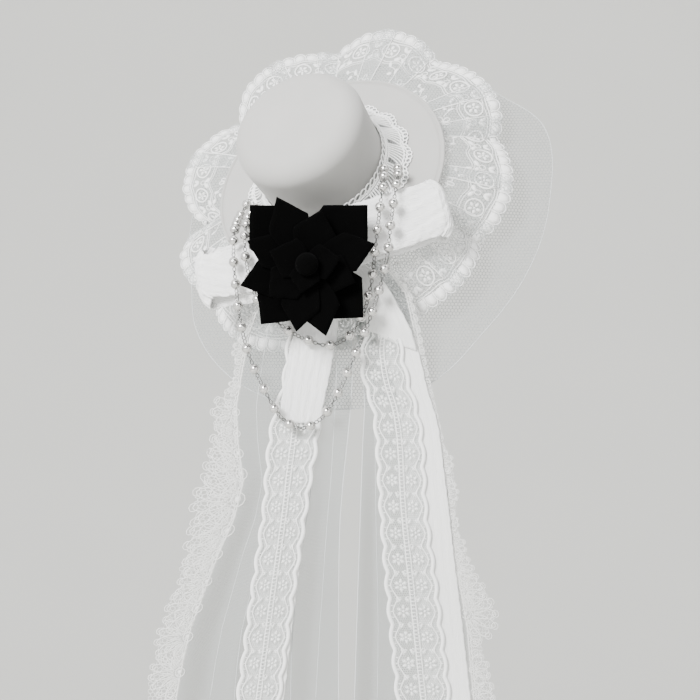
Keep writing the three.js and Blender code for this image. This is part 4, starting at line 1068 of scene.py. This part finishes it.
def band_stitching():
    """The band's crochet: a chain of loops, a braid, a fan of slanting cords in each scallop, and
    small ring picots on the scalloped edge."""
    round_mm, deep = 288.0, BAND_CUT_WIDTH
    lace = Lace(worked_on(band_point, lambda p: (p[:, 0] / round_mm, p[:, 1] / deep)))
    around = np.linspace(0, round_mm, 577)[:-1]
    chain = 58
    for k in range(chain):
        lace.thread(oval(((k + 0.5) * round_mm / chain, 2.3), 5.4, 3.3, 24, 12), 0.46, True, 0.25)
    for phase in (0, np.pi):
        braid = 4.9 + 0.42 * np.sin(around * 2 * np.pi / 3.0 + phase)
        lace.thread(np.stack([around, braid], 1), 0.44, True, 0.2)
    lace.thread(np.stack([around, np.full_like(around, 6.4)], 1), 0.36, True, 0.1)
    pitch = round_mm / BAND_SCALLOPS
    for k in range(BAND_SCALLOPS):
        x = (k + 0.5) * pitch
        for spoke in range(7):
            lean = (spoke - 3) / 3
            foot = (x + lean * 5.2 - 1.6, 6.4)
            tip = (x + lean * 6.9 + 1.6, 15.8)
            lace.thread(line(foot, tip, 6, 0.8), 0.5, False, 0.2, 5)
        for picot in range(6):
            spot = x + (picot - 2.5) * 2.62
            lace.thread(oval((spot, 19.0 - 0.12 * (picot - 2.5) ** 2), 2.7, 2.7, 0, 10), 0.42, True, 0.1)
    lace.thread(np.stack([around, 16.0 + 0.3 * np.sin(around * 2 * np.pi / 2.6)], 1), 0.6, True, 0.15, 5)
    lace.thread(np.stack([around, 17.3 + 0.2 * np.cos(around * 2 * np.pi / 2.6)], 1), 0.4, True, 0.15)
    return lace.make("crown_band_crochet", CROCHET_THREAD)


band_stitches = band_stitching()

# The rose
CORE_BACK_Y = PAD_FRONT_Y - TOUCH - LAYER * 4
CORE_DEPTH = PEARL + TOUCH * 2
CORE_FRONT_Y = CORE_BACK_Y - CORE_DEPTH


def petal(index, angle, reach, spread):
    tip = PETAL_REACH * reach
    corner = math.radians(45 if spread > 50 else 38)

    def point(u, v):
        sideways = 2 * u - 1
        # The cut petal's corner is nearly square, so its edges run straight from the tip.
        turned = math.radians(spread) * np.abs(sideways) * (1 - PETAL_NARROWING)
        outer = tip * np.maximum(math.sin(corner) / np.sin(corner + turned), PETAL_SHOULDER * 0.9)
        radius = lerp(tip * PETAL_ROOT, outer, v)
        turn = np.radians(angle + spread * sideways * (1 - PETAL_NARROWING * v))
        forward = TOUCH + PETAL_WALL / 2 + index * PETAL_PITCH
        y = CORE_FRONT_Y - forward - PETAL_LEAN * (radius - PETAL_REACH * PETAL_ROOT)
        y = y - 0.25 * np.sin(3 * np.pi * sideways + index) * v ** 2
        return np.stack([BLOOM_X + radius * np.cos(turn), y, BLOOM_Z + radius * np.sin(turn)], -1)

    flat = lambda u, v: np.stack([u * tip, v * tip], -1)
    piece = cloth(f"velvet_petal_{index + 1:02d}", point, 24, 8, VELVET, flat, thick=PETAL_WALL)
    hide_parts(f"rose_petal_{index + 1:02d}")


for index, row in enumerate(PETALS):
    petal(index, *row)


def rose_place(back, x, z):
    return lambda p: np.stack([x + p[:, 0], back - p[:, 2], z + p[:, 1]], -1)


core = lathe("velvet_core",
             [(0.01, 0), (ROSE_CORE_RADIUS - 0.5, 0), (ROSE_CORE_RADIUS, 0.5),
              (ROSE_CORE_RADIUS, CORE_DEPTH * 0.3), (ROSE_CORE_RADIUS * 0.6, CORE_DEPTH - 0.1),
              (0.01, CORE_DEPTH - 0.1)],
             40, VELVET, rose_place(CORE_BACK_Y, ROSE_X, ROSE_Z))
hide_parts("rose_core")
HEART_BACK = CORE_FRONT_Y - TOUCH - len(PETALS) * PETAL_PITCH + PETAL_LEAN * PETAL_REACH * PETAL_ROOT
heart = lathe("velvet_heart",
              [(0.01, 0), (HEART_RADIUS * 0.7, PETAL_LEAN * HEART_RADIUS),
               (HEART_RADIUS * 0.95, HEART_DEPTH * 0.3), (HEART_RADIUS, HEART_DEPTH * 0.5),
               (HEART_RADIUS * 0.8, HEART_DEPTH * 0.8), (HEART_RADIUS * 0.45, HEART_DEPTH * 0.96),
               (0.01, HEART_DEPTH)],
              32, VELVET, rose_place(HEART_BACK, BLOOM_X, BLOOM_Z))
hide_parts("rose_heart")


def felt_seat():
    """The felt seat behind the ribbons, from the sloping brim to their upright stack."""
    up = HAT_TURN[:, 2]
    sides = 36
    turn = np.arange(sides) / sides * 2 * np.pi
    rings = []
    for t, inset in ((0, 1.0), (0, 0.0), (0.5, 0.0), (1, 0.0), (1, 1.0)):
        radius = lerp(PAD_FRONT_RADIUS, PAD_BACK_RADIUS, t) - inset
        x = ROSE_X + radius * np.cos(turn)
        z = ROSE_Z - PAD_BACK_DROP * t + radius * np.sin(turn)
        back = (FELT + TOUCH - x * up[0] - z * up[2]) / up[1]
        rings.append(np.stack([x, lerp(PAD_FRONT_Y, back, t), z], -1))
    walls = tube_quads(len(rings) - 1, sides)
    ends = np.stack([np.arange(sides), (len(rings) - 1) * sides + np.arange(sides)[::-1]])
    piece = make_piece("felt_seat", np.vstack(rings), [walls, ends], FELT_CLOTH)
    tidy_seams(piece)
    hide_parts("rose_pad")


felt_seat()


# Ribbon loops
def bow_loop(name, node, root, outward, length, peek, seed):
    """peek is how far, in mm, the back layer shows below and above the front one."""
    root = np.array(root, float)
    out = unit(np.array(outward, float))
    wide = unit(np.array([-out[2], 0, out[0]]))
    wide = -wide if wide[2] < 0 else wide
    front = unit(np.cross(out, wide))
    front = -front if front[1] > 0 else front
    straight = (1 - LOOP_TURN_SHARE) / 2
    rest = CLOTH / 2 + TOUCH / 2

    def point(u, v):
        half = np.minimum(u, 1 - u)
        side = np.where(u < 0.5, -1.0, 1.0)
        t = clamp01(half / straight)
        turn = clamp01((half - straight) / (0.5 - straight)) * np.pi / 2
        reach = length - LOOP_SWELL - 6.0 * np.abs(2 * v - 1) ** 5
        s = np.where(half <= straight, reach * t, reach + LOOP_SWELL * np.sin(turn))
        d = side * np.where(half <= straight, lerp(rest, LOOP_SWELL, smooth(t)), LOOP_SWELL * np.cos(turn))
        edge = np.abs(2 * v - 1) ** 6 * np.sign(2 * v - 1)
        front_share = smooth((u - 0.5) / 0.16)
        across = lerp(-LOOP_RIBBON / 2 + peek[0] * front_share, LOOP_RIBBON / 2 - peek[1] * front_share, v)
        across = across + np.abs(edge) * (1.1 * wave(u * 30 + 2 * np.sign(edge), seed) * t - 0.3)
        # Fine crinkles, soft dents that grow towards the middle, and a front edge that curls back.
        d = d + 0.4 * wave(u * 70 + 4 * v, seed + 1) * t
        d = d + 1.1 * wave(v * 6 + u * 9, seed + 2) * t * (1 - t * 0.4)
        d = d - 1.6 * front_share * np.abs(edge) * t
        return root + s[..., None] * out + d[..., None] * front + across[..., None] * wide

    cut = 2 * length + math.pi * LOOP_SWELL
    piece = cloth(name, point, 150, 40, CREPE,
                  lambda u, v: np.stack([v * LOOP_RIBBON, u * cut], -1), thick=RIBBON_WALL)
    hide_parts(node)


LOOP_ROOT_Y = CORE_BACK_Y - CLOTH - TOUCH
LOOP_ROOT_OUT = ROSE_CORE_RADIUS + TOUCH * 2
bow_loop("right_loop_ribbon", "bow_loop_right", (ROSE_X + LOOP_ROOT_OUT, LOOP_ROOT_Y, ROSE_Z + 12),
         (0.954, 0.045, 0.295), LOOP_RIGHT_LENGTH, (2.4, 0.4), 11)
bow_loop("left_loop_ribbon", "bow_loop_left", (ROSE_X - LOOP_ROOT_OUT, LOOP_ROOT_Y, ROSE_Z - 6),
         (-0.897, 0.427, -0.128), LOOP_LEFT_LENGTH, (6.0, 3.0), 12)


# Pearls
def route_line(route, samples=24):
    """The same centripetal curve through the route's points as in the part's source."""
    p = np.array(route, float)
    p = np.vstack([2 * p[0] - p[1], p, 2 * p[-1] - p[-2]])
    stretches = []
    w = np.arange(samples)[:, None] / samples
    for k in range(1, len(p) - 2):
        d = [np.linalg.norm(p[k + i + 1] - p[k + i]) ** 0.5 for i in (-1, 0, 1)]
        a, b, c, e = p[k - 1], p[k], p[k + 1], p[k + 2]
        t1 = ((b - a) / d[0] - (c - a) / (d[0] + d[1]) + (c - b) / d[1]) * d[1]
        t2 = ((c - b) / d[1] - (e - b) / (d[1] + d[2]) + (e - c) / d[2]) * d[1]
        stretches.append(b + t1 * w + (-3 * b + 3 * c - 2 * t1 - t2) * w ** 2
                         + (2 * b - 2 * c + t1 + t2) * w ** 3)
    return np.vstack(stretches + [p[-2][None]])


def crosswise(heading):
    """A direction square to the strand's heading."""
    return unit(np.cross(heading, [0.3, 0.9, 0.2]))


def pearl(centre, heading):
    """A round pearl, bored along the strand."""
    rings, sides = 14, 20
    a = crosswise(heading)
    b = np.cross(heading, a)
    bored = math.asin(PEARL_BORE / PEARL)
    polar = np.linspace(bored, np.pi - bored, rings + 1)[:, None, None]
    turn = np.arange(sides)[None, :, None] / sides * 2 * np.pi
    across = np.cos(turn) * a + np.sin(turn) * b
    shell = centre + PEARL / 2 * (np.cos(polar) * heading + np.sin(polar) * across)
    return shell.reshape(-1, 3), tube_quads(rings, sides)


def link_ring(centre, heading, aside, reach):
    """An oval wire ring that lies along the strand and to the given side."""
    steps, sides, narrow = 14, 6, 0.8
    around = np.arange(steps)[:, None] / steps * 2 * np.pi
    tube = np.arange(sides)[None, :, None] / sides * 2 * np.pi
    path = centre + reach * np.cos(around) * heading + reach * narrow * np.sin(around) * aside
    outward = unit(narrow * np.cos(around) * heading + np.sin(around) * aside)
    ring = path[:, None] + LINK_WIRE * (np.cos(tube) * outward[:, None]
                                        + np.sin(tube) * np.cross(heading, aside))
    return ring.reshape(-1, 3), tube_quads(steps, sides, closed=True)


def pearl_strand(name, node, route, pearls):
    """Pearls at an even pitch, with three link rings in each gap, every other middle one turned."""
    line = route_line(route)
    run = np.concatenate([[0], np.cumsum(np.linalg.norm(np.diff(line, axis=0), axis=1))])
    length = run[-1]
    pitch = length / pearls
    gap = pitch - PEARL
    spot = lambda s: np.array([np.interp(s, run, line[:, k]) for k in range(3)])
    heading = lambda s: unit(spot(min(s + 0.5, length)) - spot(max(s - 0.5, 0)))
    beads = [pearl(spot(s), heading(s)) for s in (np.arange(pearls) + 0.5) * pitch]
    links = []
    for k in range(pearls + 1):
        for place in (0.17, 0.5, 0.83):
            s = k * pitch + gap * (place - 0.5)
            if 0.6 <= s <= length - 0.6:
                aside = crosswise(heading(s))
                aside = np.cross(heading(s), aside) if place == 0.5 and k % 2 else aside
                links.append(link_ring(spot(s), heading(s), aside, min(gap * 0.2, LINK_REACH)))
    string = strung(name + "_pearls", beads, PEARL_LACQUER)
    strung(name + "_links", links, SILVER_WIRE)
    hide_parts(node)


pearl_strand("long_strand", "pearl_strand_long", LONG_ROUTE, PEARLS_LONG)
pearl_strand("short_strand", "pearl_strand_short", SHORT_ROUTE, PEARLS_SHORT)

# The clip keeps its CAD shape
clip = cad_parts["hair_clip"]
clip.data.materials.clear()
clip.data.materials.append(STEEL)

# Sheets that carry lace
area_of(edge_left)
area_of(edge_right)


# Studio
def studio_floor():
    """A pale seamless floor that sweeps up far behind the hat, in metres."""
    floor, bend, start, near_end, top, half_width = -0.62, 1.6, 1.4, -4.0, 4.0, 5.0
    depth = [near_end, start]
    height = [floor, floor]
    for a in np.radians(np.linspace(6, 90, 15)):
        depth.append(start + bend * math.sin(a))
        height.append(floor + bend * (1 - math.cos(a)))
    depth.append(start + bend)
    height.append(top)
    n = len(depth)
    points = [(x, depth[k], height[k]) for x in (-half_width, half_width) for k in range(n)]
    mesh = bpy.data.meshes.new("floor")
    mesh.from_pydata(points, [], [(k, k + n, k + n + 1, k + 1) for k in range(n - 1)])
    for p in mesh.polygons:
        p.use_smooth = True
    mesh.materials.append(paper_material())
    floor_object = bpy.data.objects.new("floor", mesh)
    bpy.context.scene.collection.objects.link(floor_object)


def area_light(name, location, aim, size, power):
    data = bpy.data.lights.new(name, "AREA")
    data.size = size
    data.energy = power
    lamp = bpy.data.objects.new(name, data)
    lamp.location = location
    way = np.array(aim, float) - np.array(location, float)
    yaw = math.atan2(way[0], -way[1])
    pitch = math.atan2(math.hypot(way[0], way[1]), -way[2])
    lamp.rotation_euler = (pitch, 0, yaw + math.pi)
    bpy.context.scene.collection.objects.link(lamp)


def studio_air():
    """Soft light from all round, brighter from above and the left and dimmer from low and the right,
    which also gives the pearls something to mirror."""
    world = bpy.data.worlds.new("studio")
    bpy.context.scene.world = world
    world.use_nodes = True
    tree = world.node_tree
    way = add_node(tree, "ShaderNodeTexCoord").outputs["Generated"]
    height = add_node(tree, "ShaderNodeVectorMath", {0: way, 1: (-0.45, -0.25, 0.85)},
                      operation="DOT_PRODUCT")
    strength = add_node(tree, "ShaderNodeMapRange", {"Value": height.outputs["Value"], "From Min": -0.7,
                                                     "From Max": 0.9, "To Min": 0.25, "To Max": 2.1})
    # The dark corner of the studio, high in front of the hat: a dark spot in each pearl.
    corner = add_node(tree, "ShaderNodeVectorMath", {0: way, 1: (0.12, -0.6, 0.79)},
                      operation="DOT_PRODUCT")
    shut = add_node(tree, "ShaderNodeMapRange", {"Value": corner.outputs["Value"], "From Min": 0.86,
                                                 "From Max": 0.93, "To Min": 1.0, "To Max": 0.05})
    strength = add_node(tree, "ShaderNodeMath", {0: strength.outputs[0], 1: shut.outputs[0]},
                        operation="MULTIPLY")
    background = next(n for n in tree.nodes if n.type == "BACKGROUND")
    background.inputs["Color"].default_value = linear("#F8F8F8")
    tree.links.new(strength.outputs[0], background.inputs["Strength"])


# The lamps by place, aim, size and power: metres and watts
HAT_MIDDLE = (0, 0, -0.1)
studio_floor()
area_light("key", (-1.15, -1.95, 1.1), HAT_MIDDLE, 0.8, 172)
area_light("fill", (1.6, -1.9, 0.1), HAT_MIDDLE, 1.8, 14)
area_light("backdrop_light", (0.5, 0.6, 2.6), (0.4, 2.6, 0.2), 2.2, 46)
studio_air()
